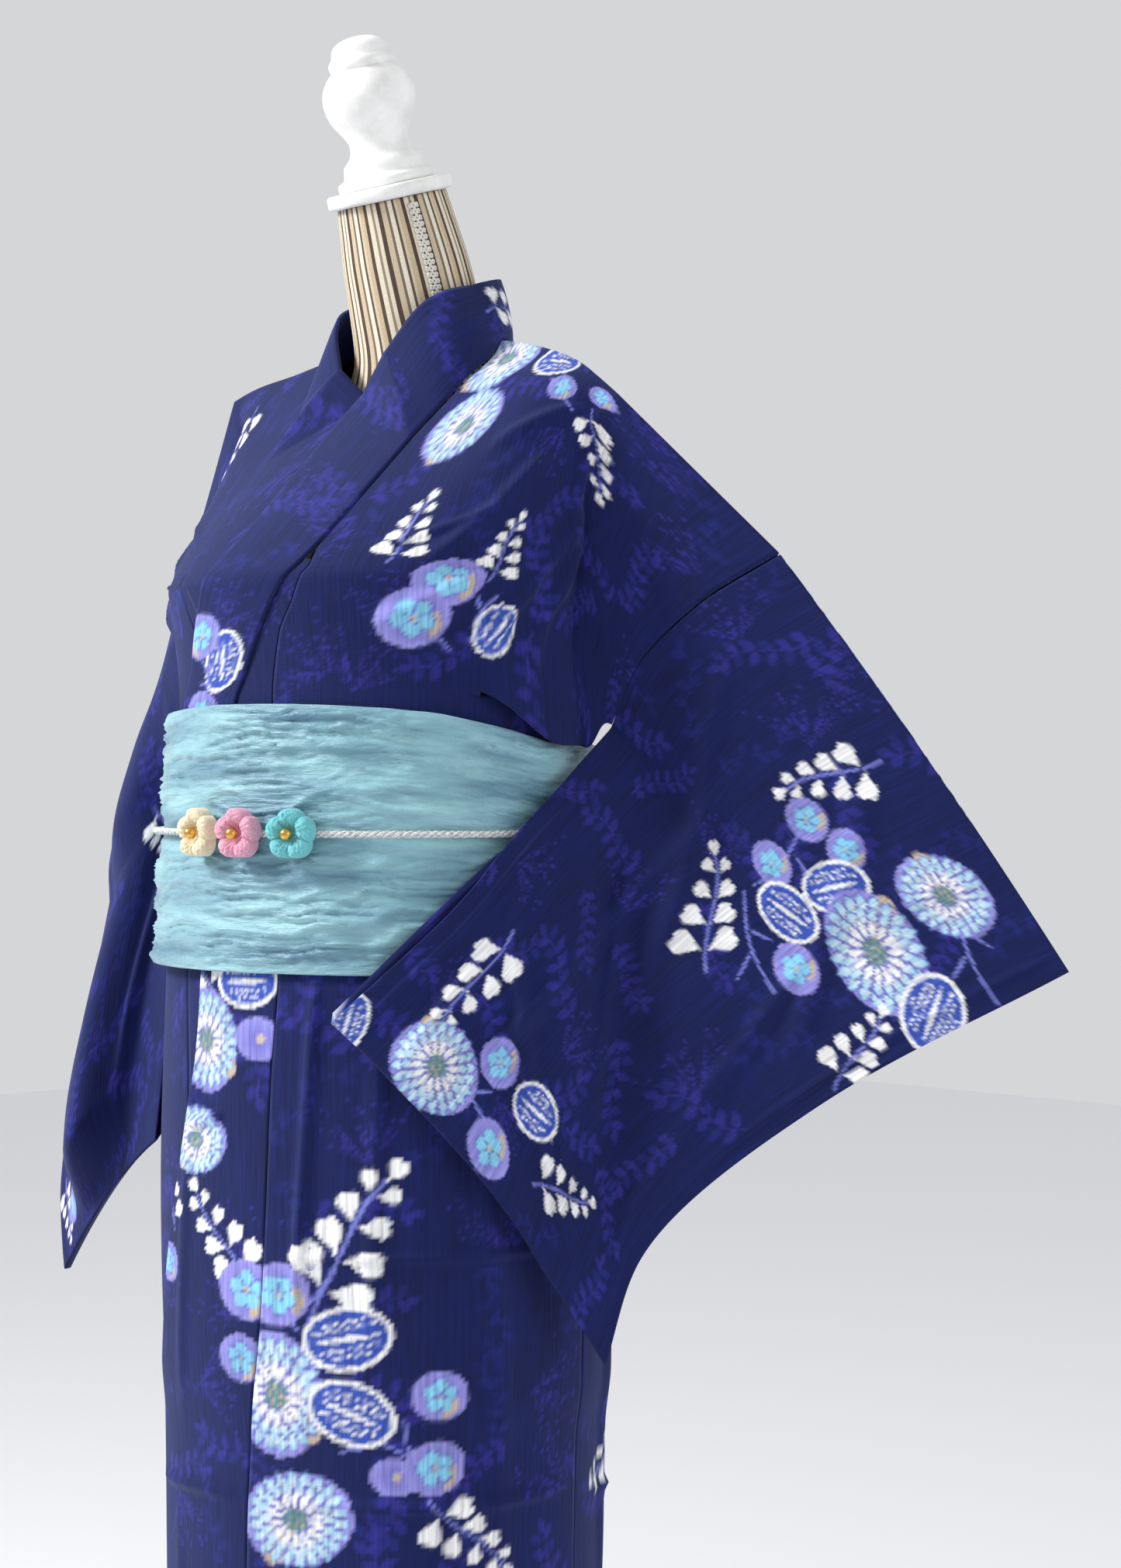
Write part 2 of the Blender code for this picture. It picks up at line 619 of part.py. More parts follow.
def flower(colour, angle, mat):
    base = cord_out(angle) + CORD_RADIUS + 0.0005
    place, outward, side, up = facing(angle, base)

    def radius_of(turn):
        return FLOWER_RADIUS * (0.90 + 0.10 * abs(np.cos(2.5 * (turn - np.pi / 2))))

    def height_of(u, turn):
        lobe = 0.78 + 0.22 * abs(np.cos(2.5 * (turn - np.pi / 2)))
        rise = 0.5 + 0.5 * ease(u / 0.45)
        return FLOWER_HEIGHT * rise * (lobe if u > 0.2 else 0.9) * np.sqrt(max(0.0, 1 - (u * 0.93) ** 4))

    dome("flower_" + colour, place, outward, side, up, 5, 30, radius_of, height_of, mat)
    seat = place + outward * (FLOWER_HEIGHT * 0.5 * 0.9 + 0.0015 + BEAD_RADIUS)
    bpy.ops.mesh.primitive_uv_sphere_add(segments=12, ring_count=8, radius=BEAD_RADIUS,
                                         location=tuple(seat))
    bead = bpy.context.object
    bead.name = "bead_" + colour
    bead.data.materials.append(gold)
    bead.data.shade_smooth()
    return bead


# Dress form: height, half width, half depth, shift along Y, forward tilt in degrees
FORM = {
    "z": (0.801, 0.812, 0.840, 0.900, 1.215, 1.258, 1.290, 1.324, 1.360, 1.388, 1.408, 1.430,
          1.460, 1.490, 1.515, 1.535),
    "half_width": (0.110, 0.130, 0.142, 0.150, 0.150, 0.150, 0.147, 0.140, 0.122, 0.094, 0.068,
                   0.053, 0.0480, 0.0450, 0.0415, 0.0385),
    "half_depth": (0.085, 0.100, 0.112, 0.122, 0.121, 0.117, 0.103, 0.085, 0.067, 0.054, 0.047,
                   0.045, 0.0440, 0.0430, 0.0405, 0.0385),
    "shift": (0, 0, 0, 0, 0.003, 0.008, 0.021, 0.035, 0.0425, 0.044, 0.042, 0.038, 0.030,
              0.0215, 0.0138, 0.0075),
    "tilt": (0, 0, 0, 0, 0, 0, 0, 0, 0, 0, 1, 4, 8, 12, 15, 17),
}
FORM_CLEARANCE = 0.0018
WAIST_ROWS = (0.990, 1.040, 1.100, 1.160)
LEAN = 17.0
NECK_TOP = np.array([0.0, 0.0075, 1.535])
PLATE_THICKNESS = 0.010
BASE_TOP = 0.036
FORM_FOOT = 0.7955

# Turned profiles as radius, height
PLATE = ((0, 0), (0.041, 0), (0.044, 0.002), (0.044, 0.008), (0.042, PLATE_THICKNESS),
         (0, PLATE_THICKNESS))
FINIAL = ((0, 0), (0.0345, 0), (0.0345, 0.0055), (0.0290, 0.0085), (0.0280, 0.0160),
          (0.0225, 0.0220), (0.0205, 0.0290), (0.0225, 0.0350), (0.0285, 0.0440),
          (0.0318, 0.0530), (0.0325, 0.0600), (0.0312, 0.0680), (0.0270, 0.0755),
          (0.0222, 0.0800), (0.0232, 0.0830), (0.0222, 0.0870), (0.0200, 0.0895),
          (0.0190, 0.0945), (0.0140, 0.0990), (0.0070, 0.1012), (0, 0.1018))
POLE_RADIUS = 0.016
STAND = ((0, 0), (0.144, 0), (0.150, 0.005), (0.150, 0.020), (0.143, 0.029), (0.060, 0.032),
         (0.030, BASE_TOP), (0, BASE_TOP))


def form_rings():
    rows = [(z, a, b, c, t) for z, a, b, c, t in zip(*(FORM[k] for k in FORM))]
    for z in WAIST_ROWS:
        a = smooth(z, RINGS["z"], RINGS["half_width"]) - FORM_CLEARANCE
        b = smooth(z, RINGS["z"], RINGS["half_depth"]) - FORM_CLEARANCE
        rows.append((z, a, b, 0.0, 0.0))
    return sorted(rows)


def dress_form():
    """Limbless torso and neck in one covered piece, lofted through its rings."""
    steps = 40
    verts = [np.array([0.0, 0.0, FORM_FOOT])]
    rows = form_rings()
    for z, a, b, shift, tilt in rows:
        lean = np.radians(tilt)
        for s in range(steps):
            turn = 2 * np.pi * s / steps
            deep = b * np.sin(turn)
            verts.append(np.array([a * np.cos(turn), shift + deep * np.cos(lean),
                                   z + deep * np.sin(lean)]))
    verts.append(NECK_TOP)
    faces = []
    for s in range(steps):
        t = (s + 1) % steps
        faces.append((0, 1 + t, 1 + s))
        for r in range(len(rows) - 1):
            a = 1 + r * steps
            faces.append((a + s, a + t, a + steps + t, a + steps + s))
        last = 1 + (len(rows) - 1) * steps
        faces.append((last + s, last + t, len(verts) - 1))
    return add_mesh("form_torso", verts, faces, linen)


def turned(name, profile, place, lean, steps, mat):
    """Round piece turned about an axis that leans forward."""
    tilt = np.radians(lean)
    axis = np.array([0, -np.sin(tilt), np.cos(tilt)])
    side = np.array([1.0, 0, 0])
    ahead = np.cross(axis, side)
    verts = [place + axis * profile[0][1]]
    for radius, height in profile[1:-1]:
        for s in range(steps):
            turn = 2 * np.pi * s / steps
            verts.append(place + axis * height + (side * np.cos(turn) + ahead * np.sin(turn)) * radius)
    verts.append(place + axis * profile[-1][1])
    faces = []
    rings = len(profile) - 2
    for s in range(steps):
        t = (s + 1) % steps
        faces.append((0, 1 + t, 1 + s))
        for r in range(rings - 1):
            a = 1 + r * steps
            faces.append((a + s, a + t, a + steps + t, a + steps + s))
        last = 1 + (rings - 1) * steps
        faces.append((last + s, last + t, len(verts) - 1))
    obj = add_mesh(name, verts, faces, mat)
    obj.data.set_sharp_from_angle(angle=np.radians(40))
    return obj


for old in list(bpy.data.objects):
    bpy.data.objects.remove(old, do_unlink=True)

cotton = material("navy_cotton", NAVY, 0.85)
satin = material("crinkled_satin", TEAL, 0.45)
thread = material("braided_cord", (0.6, 0.62, 0.63), 0.7)
gold = material("gold_bead", (0.8, 0.5, 0.12), 0.3, 1.0)
linen = material("striped_cover", (0.5, 0.4, 0.3), 0.9)
paint = material("white_paint", WHITE, 0.35)
petals = {
    "cream": material("cream_crepe", (0.8, 0.7, 0.5), 0.9),
    "pink": material("pink_crepe", (0.75, 0.38, 0.5), 0.9),
    "turquoise": material("turquoise_crepe", (0.15, 0.6, 0.62), 0.9),
}

for half in ("left", "right"):
    body_panel(half)
    okumi_panel(half)
    sleeve(half)
collar_band()
sash()
sash_knot()
sash_cord()
for colour, where in FLOWER_ANGLES.items():
    flower(colour, where, petals[colour])
dress_form()
plate_seat = NECK_TOP + np.array([0, -np.sin(np.radians(LEAN)), np.cos(np.radians(LEAN))]) * 0.0003
turned("neck_plate", PLATE, plate_seat, LEAN, 40, paint)
finial_seat = plate_seat + (plate_seat - NECK_TOP) / 0.0003 * (PLATE_THICKNESS + 0.0003)
turned("finial", FINIAL, finial_seat, LEAN, 28, paint)
POLE = ((0, BASE_TOP + 0.0003), (POLE_RADIUS, BASE_TOP + 0.0003),
        (POLE_RADIUS, FORM_FOOT - 0.0003), (0, FORM_FOOT - 0.0003))
turned("stand_pole", POLE, np.zeros(3), 0.0, 24, paint)
turned("stand_base", STAND, np.zeros(3), 0.0, 48, paint)
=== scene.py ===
"""Looks of the cotton yukata robe on its dress form: printed cloth, sash, flowers and stand."""

import bpy
import numpy as np
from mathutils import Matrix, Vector


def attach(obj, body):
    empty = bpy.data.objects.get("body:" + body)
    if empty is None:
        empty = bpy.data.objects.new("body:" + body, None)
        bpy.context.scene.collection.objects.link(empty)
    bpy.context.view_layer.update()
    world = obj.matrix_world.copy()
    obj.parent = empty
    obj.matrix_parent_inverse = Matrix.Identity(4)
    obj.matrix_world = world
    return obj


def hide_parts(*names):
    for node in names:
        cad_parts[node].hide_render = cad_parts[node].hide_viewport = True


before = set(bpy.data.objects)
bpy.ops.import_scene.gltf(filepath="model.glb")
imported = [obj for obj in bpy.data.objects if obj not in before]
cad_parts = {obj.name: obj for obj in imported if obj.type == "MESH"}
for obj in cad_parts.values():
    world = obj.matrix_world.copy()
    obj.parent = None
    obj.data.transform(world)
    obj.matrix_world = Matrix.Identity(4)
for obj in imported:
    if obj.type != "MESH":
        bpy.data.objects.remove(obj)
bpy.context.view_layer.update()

# Colour and shader helpers: photo colours are sRGB bytes, shaders want linear light
def rgb(r, g, b):
    c = np.array([r, g, b]) / 255.0
    return tuple(np.where(c <= 0.04045, c / 12.92, ((c + 0.055) / 1.055) ** 2.4).tolist())


def shader(name, roughness=0.8, colour=(0.5, 0.5, 0.5), metallic=0.0):
    mat = bpy.data.materials.new(name)
    mat.use_nodes = True
    bsdf = mat.node_tree.nodes["Principled BSDF"]
    bsdf.inputs["Base Color"].default_value = (*colour, 1)
    bsdf.inputs["Roughness"].default_value = roughness
    bsdf.inputs["Metallic"].default_value = metallic
    return mat, mat.node_tree.nodes, mat.node_tree.links, bsdf


def stretched_noise(nodes, links, source, scale, detail=3.0):
    """Noise read from a coordinate output, with its own scale on each axis."""
    mapping = nodes.new("ShaderNodeMapping")
    mapping.inputs["Scale"].default_value = scale
    links.new(source, mapping.inputs["Vector"])
    noise = nodes.new("ShaderNodeTexNoise")
    noise.inputs["Scale"].default_value = 1.0
    noise.inputs["Detail"].default_value = detail
    links.new(mapping.outputs["Vector"], noise.inputs["Vector"])
    return noise.outputs["Fac"]


def remap(nodes, links, value, low_out, high_out, low_in=0.3, high_in=0.7):
    node = nodes.new("ShaderNodeMapRange")
    node.inputs["From Min"].default_value = low_in
    node.inputs["From Max"].default_value = high_in
    node.inputs["To Min"].default_value = low_out
    node.inputs["To Max"].default_value = high_out
    links.new(value, node.inputs["Value"])
    return node.outputs["Result"]


def bump(nodes, links, bsdf, heights, strengths):
    """Bump nodes in a chain, one for each height and its size in metres."""
    last = None
    for height, size in zip(heights, strengths):
        node = nodes.new("ShaderNodeBump")
        node.inputs["Strength"].default_value = 1.0
        node.inputs["Distance"].default_value = size
        links.new(height, node.inputs["Height"])
        if last is not None:
            links.new(last, node.inputs["Normal"])
        last = node.outputs["Normal"]
    links.new(last, bsdf.inputs["Normal"])


def coordinates(nodes, kind="object"):
    """Where a pattern is read from: the flat cloth's metres or the object's own."""
    if kind == "cloth":
        node = nodes.new("ShaderNodeUVMap")
        node.uv_map = "cloth"
        return node.outputs["UV"]
    return nodes.new("ShaderNodeTexCoord").outputs["Object"]


def two_tones(nodes, links, bsdf, value, dark, light, low_in=0.0, high_in=1.0):
    """Base colour that runs from dark to light as a value rises."""
    ramp = nodes.new("ShaderNodeValToRGB")
    for i, (place, colour) in enumerate(((low_in, dark), (high_in, light))):
        ramp.color_ramp.elements[i].position = place
        ramp.color_ramp.elements[i].color = (*colour, 1)
    links.new(value, ramp.inputs["Fac"])
    links.new(ramp.outputs["Color"], bsdf.inputs["Base Color"])


# Cotton: the printed colour comes from the mesh, darkened and lightened by slub threads
cotton, nodes, links, bsdf = shader("printed_cotton", 0.86)
ink = nodes.new("ShaderNodeAttribute")
ink.attribute_name = "print"
uv = coordinates(nodes, "cloth")
slub = stretched_noise(nodes, links, uv, (420, 22, 1), 3)
weft = stretched_noise(nodes, links, uv, (60, 1100, 1), 2)
cloud = stretched_noise(nodes, links, uv, (30, 12, 1), 3)
tone = nodes.new("ShaderNodeMath")
tone.operation = "MULTIPLY"
links.new(remap(nodes, links, slub, 0.78, 1.24, 0.32, 0.68), tone.inputs[0])
links.new(remap(nodes, links, cloud, 0.90, 1.12), tone.inputs[1])
scaled = nodes.new("ShaderNodeVectorMath")
scaled.operation = "SCALE"
links.new(ink.outputs["Color"], scaled.inputs[0])
links.new(tone.outputs[0], scaled.inputs["Scale"])
links.new(scaled.outputs["Vector"], bsdf.inputs["Base Color"])
bump(nodes, links, bsdf, (slub, weft), (0.0004, 0.00025))
bsdf.inputs["Sheen Weight"].default_value = 0.12
bsdf.inputs["Sheen Roughness"].default_value = 0.5
bsdf.inputs["Sheen Tint"].default_value = (0.5, 0.6, 1.0, 1)
bsdf.inputs["Specular IOR Level"].default_value = 0.25


# The same two surfaces as the CAD: body rings below the sash, a shoulder drape above it
def ease(x):
    x = np.clip(x, 0.0, 1.0)
    return x * x * (3 - 2 * x)


def curve(x, xs, ys):
    """Monotone cubic through a short table, for arrays."""
    xs = np.asarray(xs, float)
    ys = np.asarray(ys, float)
    x = np.clip(np.asarray(x, float), xs[0], xs[-1])
    i = np.clip(np.searchsorted(xs, x) - 1, 0, len(xs) - 2)
    flat = ys.ndim == 1
    ys = ys.reshape(len(xs), -1)
    step = np.diff(xs)
    slope = np.diff(ys, axis=0) / step[:, None]
    both = slope[:-1] * slope[1:]
    middle = np.where(both > 0, 2 * both / (slope[:-1] + slope[1:] + 1e-12), 0.0)
    tangent = np.vstack([slope[:1], middle, slope[-1:]])
    h = step[i][..., None]
    w = ((x - xs[i]) / step[i])[..., None]
    out = (ys[i] * (1 + 2 * w) * (1 - w) ** 2 + ys[i + 1] * w * w * (3 - 2 * w)
           + h * tangent[i] * w * (1 - w) ** 2 + h * tangent[i + 1] * w * w * (w - 1))
    return out[..., 0] if flat else out


TIE_Z = 1.187
CHEST_Z = 1.262
HEM_Z = 0.055
CHEST_ROW = 0.70
VALLEY = 0.72
SIDE_ANGLE = 100.0
BACK_TURN = 22.0
SLIT_ANGLE = 2.6
RING_Z = (0.05, 0.35, 0.62, 0.70, 0.74, 0.86, 1.00, 1.10, 1.187, 1.262)
RING_WIDTH = (0.158, 0.160, 0.162, 0.164, 0.169, 0.170, 0.164, 0.158, 0.156, 0.164)
RING_DEPTH = (0.130, 0.131, 0.133, 0.134, 0.137, 0.140, 0.138, 0.132, 0.128, 0.136)
RIDGE_COLUMN = (-1.00, -0.86, -0.72, -0.45, -0.22, 0.00, 0.22, 0.45, 0.72, 0.86, 1.00)
RIDGE = tuple(zip(
    (-0.277, -0.250, -0.205, -0.135, -0.068, 0.000, 0.068, 0.130, 0.190, 0.228, 0.280),
    (0.042, 0.036, 0.034, 0.036, 0.042, 0.045, 0.042, 0.037, 0.034, 0.060, 0.090),
    (1.285, 1.368, 1.417, 1.431, 1.440, 1.442, 1.434, 1.419, 1.384, 1.333, 1.278)))
ARMHOLES = {
    (1, 0): ((0, 0.280, 0.090, 1.278), (0.35, 0.235, 0.060, 1.245),
             (0.7, 0.196, 0.044, 1.205), (1, 0.178, 0.040, 1.167)),
    (1, 1): ((0, 0.280, 0.090, 1.278), (0.35, 0.246, 0.104, 1.245),
             (0.7, 0.215, 0.098, 1.205), (1, 0.190, 0.085, 1.167)),
    (-1, 0): ((0, -0.277, 0.042, 1.285), (0.35, -0.245, 0.010, 1.240),
              (0.7, -0.215, 0.006, 1.200), (1, -0.190, 0.012, 1.162)),
    (-1, 1): ((0, -0.277, 0.042, 1.285), (0.35, -0.255, 0.066, 1.240),
              (0.7, -0.225, 0.074, 1.200), (1, -0.195, 0.075, 1.162)),
}


def from_table(table, u):
    table = np.array(table)
    return curve(u, table[:, 0], table[:, 1:])


def ring_point(angle, z, out=0.0):
    a = curve(z, RING_Z, RING_WIDTH) + out
    b = curve(z, RING_Z, RING_DEPTH) + out
    turn = np.radians(angle)
    return np.stack([a * np.sin(turn), -b * np.cos(turn), z + 0 * a], -1)


def drape(q, row, back):
    """Body surface: row 0 is the shoulder ridge, row 1 the tie line, then down to the hem."""
    q, row, back = np.broadcast_arrays(np.asarray(q, float), np.asarray(row, float), back)
    core = np.clip(q, -VALLEY, VALLEY)
    edge = SIDE_ANGLE + BACK_TURN * (1 - ease((row - 0.76) / 0.20))
    edge = edge + SLIT_ANGLE * np.clip((1 - row) / 0.015, 0, 1)
    behind = np.copysign(180.0 - (180.0 - edge) * np.abs(core) / VALLEY, core)
    angle = np.where(back, behind, SIDE_ANGLE * core / VALLEY)
    z = np.where(row >= 1, TIE_Z - (row - 1),
                 CHEST_Z + (TIE_Z - CHEST_Z) * (row - CHEST_ROW) / (1 - CHEST_ROW))
    lower = ring_point(angle, z)
    turn = np.pi / 2 * np.clip(row, 0, CHEST_ROW) / CHEST_ROW
    top = curve(core, RIDGE_COLUMN, RIDGE)
    chest = ring_point(angle, np.full_like(angle, CHEST_Z))
    bulge = np.where(back, 1.0, 0.10 + 0.7 * ease((np.abs(core) - 0.25) / (VALLEY - 0.25)))
    upper = top + (chest - top) * np.sin(turn)[..., None]
    fall = (1 - bulge) * np.sin(turn) + bulge * (1 - np.cos(turn))
    upper[..., 2] = top[..., 2] + (chest[..., 2] - top[..., 2]) * fall
    point = np.where((row >= CHEST_ROW)[..., None], lower, upper)
    part = np.clip((np.abs(q) - VALLEY) / (1 - VALLEY), 0, 1)[..., None]
    down = np.minimum(row, 1.0)
    hole = np.zeros_like(point)
    for (sign, rear), table in ARMHOLES.items():
        here = ((q > 0) == (sign > 0)) & (back == bool(rear))
        hole = np.where(here[..., None], from_table(table, down), hole)
    return point * (1 - part) + hole * part


def drape_normal(q, row, back):
    q, row, back = np.broadcast_arrays(np.asarray(q, float), np.asarray(row, float), back)
    across = drape(np.minimum(q + 0.01, 1), row, back) - drape(np.maximum(q - 0.01, -1), row, back)
    down = drape(q, row + 0.01, back) - drape(q, np.maximum(row - 0.01, 0), back)
    normal = np.cross(across, down)
    normal *= np.where(back, 1.0, -1.0)[..., None]
    return normal / (np.linalg.norm(normal, axis=-1, keepdims=True) + 1e-12)


LIFT_CHEST = 0.0075
LIFT_TIE = 0.0042


def lift_of_left(q, row):
    """How far the left front lies outside the right one, at the chest and at the tie line."""
    most = LIFT_CHEST + (LIFT_TIE - LIFT_CHEST) * ease((row - CHEST_ROW) / (1 - CHEST_ROW))
    return most * ease((VALLEY - q) / 0.36) * ease(row / 0.12)


# Printed motifs: each is a list of flat polygons in metres with the colours of root and rim
INK = {
    "navy": rgb(10, 22, 76), "tonal": rgb(42, 38, 126), "tonal2": rgb(24, 32, 104),
    "white": rgb(228, 228, 228), "stem": rgb(112, 118, 196), "lavender": rgb(140, 136, 206),
    "teal": rgb(126, 190, 218), "gold": rgb(184, 166, 146),
    "royal": rgb(52, 78, 168), "violet": rgb(96, 98, 176), "sage": rgb(88, 128, 136),
}


def polygon(points, inner, outer=None, root=(0, 0), reach=1.0):
    return {"p": np.asarray(points, float), "a": np.array(INK[inner]), "b": np.array(INK[outer or inner]),
            "root": np.asarray(root, float), "reach": reach}


def ellipse(cx, cy, rx, ry, turn=0.0, n=14):
    t = np.linspace(0, 2 * np.pi, n, endpoint=False)
    c, s = np.cos(turn), np.sin(turn)
    x, y = rx * np.cos(t), ry * np.sin(t)
    return np.stack([cx + x * c - y * s, cy + x * s + y * c], 1)


def blade(cx, cy, length, width, turn, tip=1.0, n=6):
    """Leaf or petal outline that starts at a point and runs along an angle."""
    t = np.linspace(0, 1, n + 1)
    half = width / 2 * np.sin(np.pi * t ** tip)
    x = np.concatenate([t * length, t[-2:0:-1] * length])
    y = np.concatenate([half, -half[-2:0:-1]])
    c, s = np.cos(turn), np.sin(turn)
    return np.stack([cx + x * c - y * s, cy + x * s + y * c], 1)


def kiku(r):
    """Chrysanthemum that fills an oval: three rings of pointed petals round a dotted heart."""
    out = [polygon(ellipse(0, 0, r * 1.08, r * 0.84, n=36), "violet", "lavender", reach=r),
           polygon(ellipse(-0.45 * r, -0.42 * r, r * 0.42, r * 0.24, 0.6, 16), "gold", "gold")]
    for start, end, count, wide, root, tip in ((0.60, 1.02, 22, 0.22, "white", "teal"),
                                               (0.42, 0.80, 18, 0.20, "white", "teal"),
                                               (0.22, 0.58, 14, 0.17, "white", "white")):
        for i in range(count):
            a = 2 * np.pi * (i + 0.5 * (count == 18)) / count
            at = (start * r * np.cos(a), start * r * np.sin(a) * 0.80)
            shape = blade(*at, (end - start) * r, wide * r * 1.10, a, 1.3)
            out.append(polygon(shape, "violet"))
            shape = blade(*at, (end - start) * r * 0.95, wide * r * 0.78, a, 1.3)
            out.append(polygon(shape, root, tip, at, (end - start) * r))
    out.append(polygon(ellipse(0, 0, r * 0.25, r * 0.21, n=16), "sage", "sage"))
    for i in range(14):
        a, d = 2 * np.pi * i / 7, 0.18 if i < 7 else 0.09
        out.append(polygon(ellipse(r * d * np.cos(a), r * d * np.sin(a), r * 0.028, r * 0.028, n=5), "gold"))
    return out


def plum(r):
    """Small oval with a five-petalled blossom and a touch of beige."""
    out = [polygon(ellipse(0, 0, r * 1.12, r * 0.98, n=28), "violet", "lavender", reach=r),
           polygon(blade(0.1 * r, -0.9 * r, r * 1.0, r * 0.45, 0.9, 1.0), "gold")]
    for i in range(5):
        a = 2 * np.pi * i / 5 + 0.3
        at = (0.38 * r * np.cos(a), 0.38 * r * np.sin(a))
        out.append(polygon(ellipse(*at, 0.31 * r, 0.29 * r, a, 14), "violet"))
        out.append(polygon(ellipse(*at, 0.28 * r, 0.26 * r, a, 14), "teal"))
    for i in range(5):
        a = 2 * np.pi * (i + 0.5) / 5 + 0.3
        out.append(polygon(blade(0, 0, 0.40 * r, 0.05 * r, a, n=3), "violet"))
    out.append(polygon(ellipse(0, 0, 0.10 * r, 0.10 * r, n=10), "gold"))
    return out


def disc(r):
    """Small plain bud oval."""
    return [polygon(ellipse(0, 0, r * 1.1, r * 0.9, n=22), "violet", "lavender", reach=r),
            polygon(ellipse(0.1 * r, 0, r * 0.22, r * 0.20, n=10), "gold")]


def kanoko(r):
    """Tie-dye oval: white ring, blue ground, a slit down its middle and rows of white dots."""
    out = [polygon(ellipse(0, 0, r * 1.10, r * 0.80, n=40), "white"),
           polygon(ellipse(0, 0, r * 0.98, r * 0.68, n=40), "royal"),
           polygon(blade(-0.85 * r, 0.04 * r, 1.7 * r, 0.14 * r, -0.05), "white")]
    step = 0.0042
    for i in range(-8, 9):
        for j in range(-6, 7):
            x, y = step * (i + 0.5 * (j % 2)), step * (j + 0.5)
            if (x / (r * 0.84)) ** 2 + (y / (r * 0.54)) ** 2 < 1 and abs(y) > 0.16 * r:
                out.append(polygon(ellipse(x, y, 0.0015, 0.0014, n=8), "white"))
                out.append(polygon(ellipse(x, y, 0.0006, 0.0006, n=6), "royal"))
    return out


def spray(r, light="white", stem="stem"):
    """Fern-like spray: a curved stem with pairs of broad leaves, notched at the tip."""
    t = np.linspace(-1, 1.0, 9)
    middle = np.stack([t * r, 0.16 * r * np.sin(t * 2.0)], 1)
    wide = 0.028 * r + 0.0003
    out = [polygon(np.vstack([middle + [0, wide], middle[::-1] - [0, wide * 0.6]]), stem)]
    for i in range(4):
        x = -0.62 + 0.44 * i
        size = r * (0.62 - 0.10 * i)
        for side in (1, -1):
            at = (x * r, 0.16 * r * np.sin(x * 2.0) + side * 0.04 * r)
            turn = side * (1.10 - 0.12 * i)
            for tilt in (-0.16, 0.16):
                out.append(polygon(blade(*at, size, size * 0.46, turn + tilt, 1.9, 8), light))
    at = (0.95 * r, 0.16 * r * np.sin(1.9))
    for tilt in (-0.2, 0.2):
        out.append(polygon(blade(*at, r * 0.34, r * 0.17, tilt, 1.9, 7), light))
    return out


def tonal_spray(r, light="tonal", stem="tonal2"):
    """Twig of rounded leaves in a blue only a little lighter than the ground."""
    t = np.linspace(-1, 1.0, 9)
    middle = np.stack([t * r, 0.2 * r * np.sin(t * 2.6)], 1)
    out = [polygon(np.vstack([middle + [0, 0.0006], middle[::-1] - [0, 0.0006]]), light)]
    for i in range(6):
        x = -0.85 + 0.34 * i
        for side in (1, -1):
            at = (x * r, 0.2 * r * np.sin(x * 2.6))
            out.append(polygon(blade(*at, r * 0.40, r * 0.21, side * 1.0, 1.0, 7),
                               light if (i + side) % 3 else stem, stem, at, r * 0.5))
    end = blade(r, 0.2 * r * np.sin(2.6), r * 0.36, r * 0.2, 0.1, 1.0, 7)
    out.append(polygon(end, light, stem, (r, 0), r * 0.5))
    return out


def berries(r, light="tonal"):
    """Loose head of tiny berries on thin stalks, in the same quiet blue."""
    rng = np.random.default_rng(3)
    out = []
    for i in range(22):
        a, d = rng.uniform(-1.0, 1.0), rng.uniform(0.25, 1.0) * r * 1.6
        tip = (-r + d * np.cos(a), d * np.sin(a))
        out.append(polygon(blade(-r, 0, d, 0.0006, a, n=2), light))
        out.append(polygon(ellipse(*tip, 0.0014, 0.0014, n=7), light))
    return out


def branch(r):
    """Bare forked branch that joins the motifs of a group."""
    t = np.linspace(-1, 1.0, 9)
    middle = np.stack([t * r, 0.22 * r * np.cos(t * 1.6)], 1)
    out = [polygon(np.vstack([middle + [0, 0.0011], middle[::-1] - [0, 0.0011]]), "stem")]
    out.append(polygon(blade(0.1 * r, 0.2 * r, 0.7 * r, 0.0030, 0.8, 1, 5), "stem"))
    out.append(polygon(blade(-0.3 * r, 0.2 * r, 0.6 * r, 0.0026, -0.9, 1, 5), "stem"))
    return out


MOTIFS = {"kiku": kiku, "plum": plum, "disc": disc, "kanoko": kanoko, "spray": spray,
          "branch": branch, "tonal": tonal_spray, "berries": berries,
          "tonal2": lambda r: tonal_spray(r, "tonal2", "navy")}
# One group of the print: motif, place from the group's middle, size and turn
GROUP = (
    ("branch", 0.0, 0.0, 0.045, 10), ("branch", 0.01, -0.01, 0.040, 100),
    ("spray", -0.062, 0.010, 0.040, 170), ("spray", 0.030, 0.060, 0.034, 70),
    ("kiku", 0.020, -0.020, 0.034, 10), ("kanoko", -0.024, 0.016, 0.023, 20),
    ("kanoko", 0.004, 0.034, 0.022, 70), ("plum", -0.022, -0.028, 0.016, 0),
    ("plum", 0.058, 0.004, 0.014, 40), ("spray", 0.062, -0.056, 0.030, 310),
)
PIXEL = 0.0011
CLOTH_THICK = 0.0011


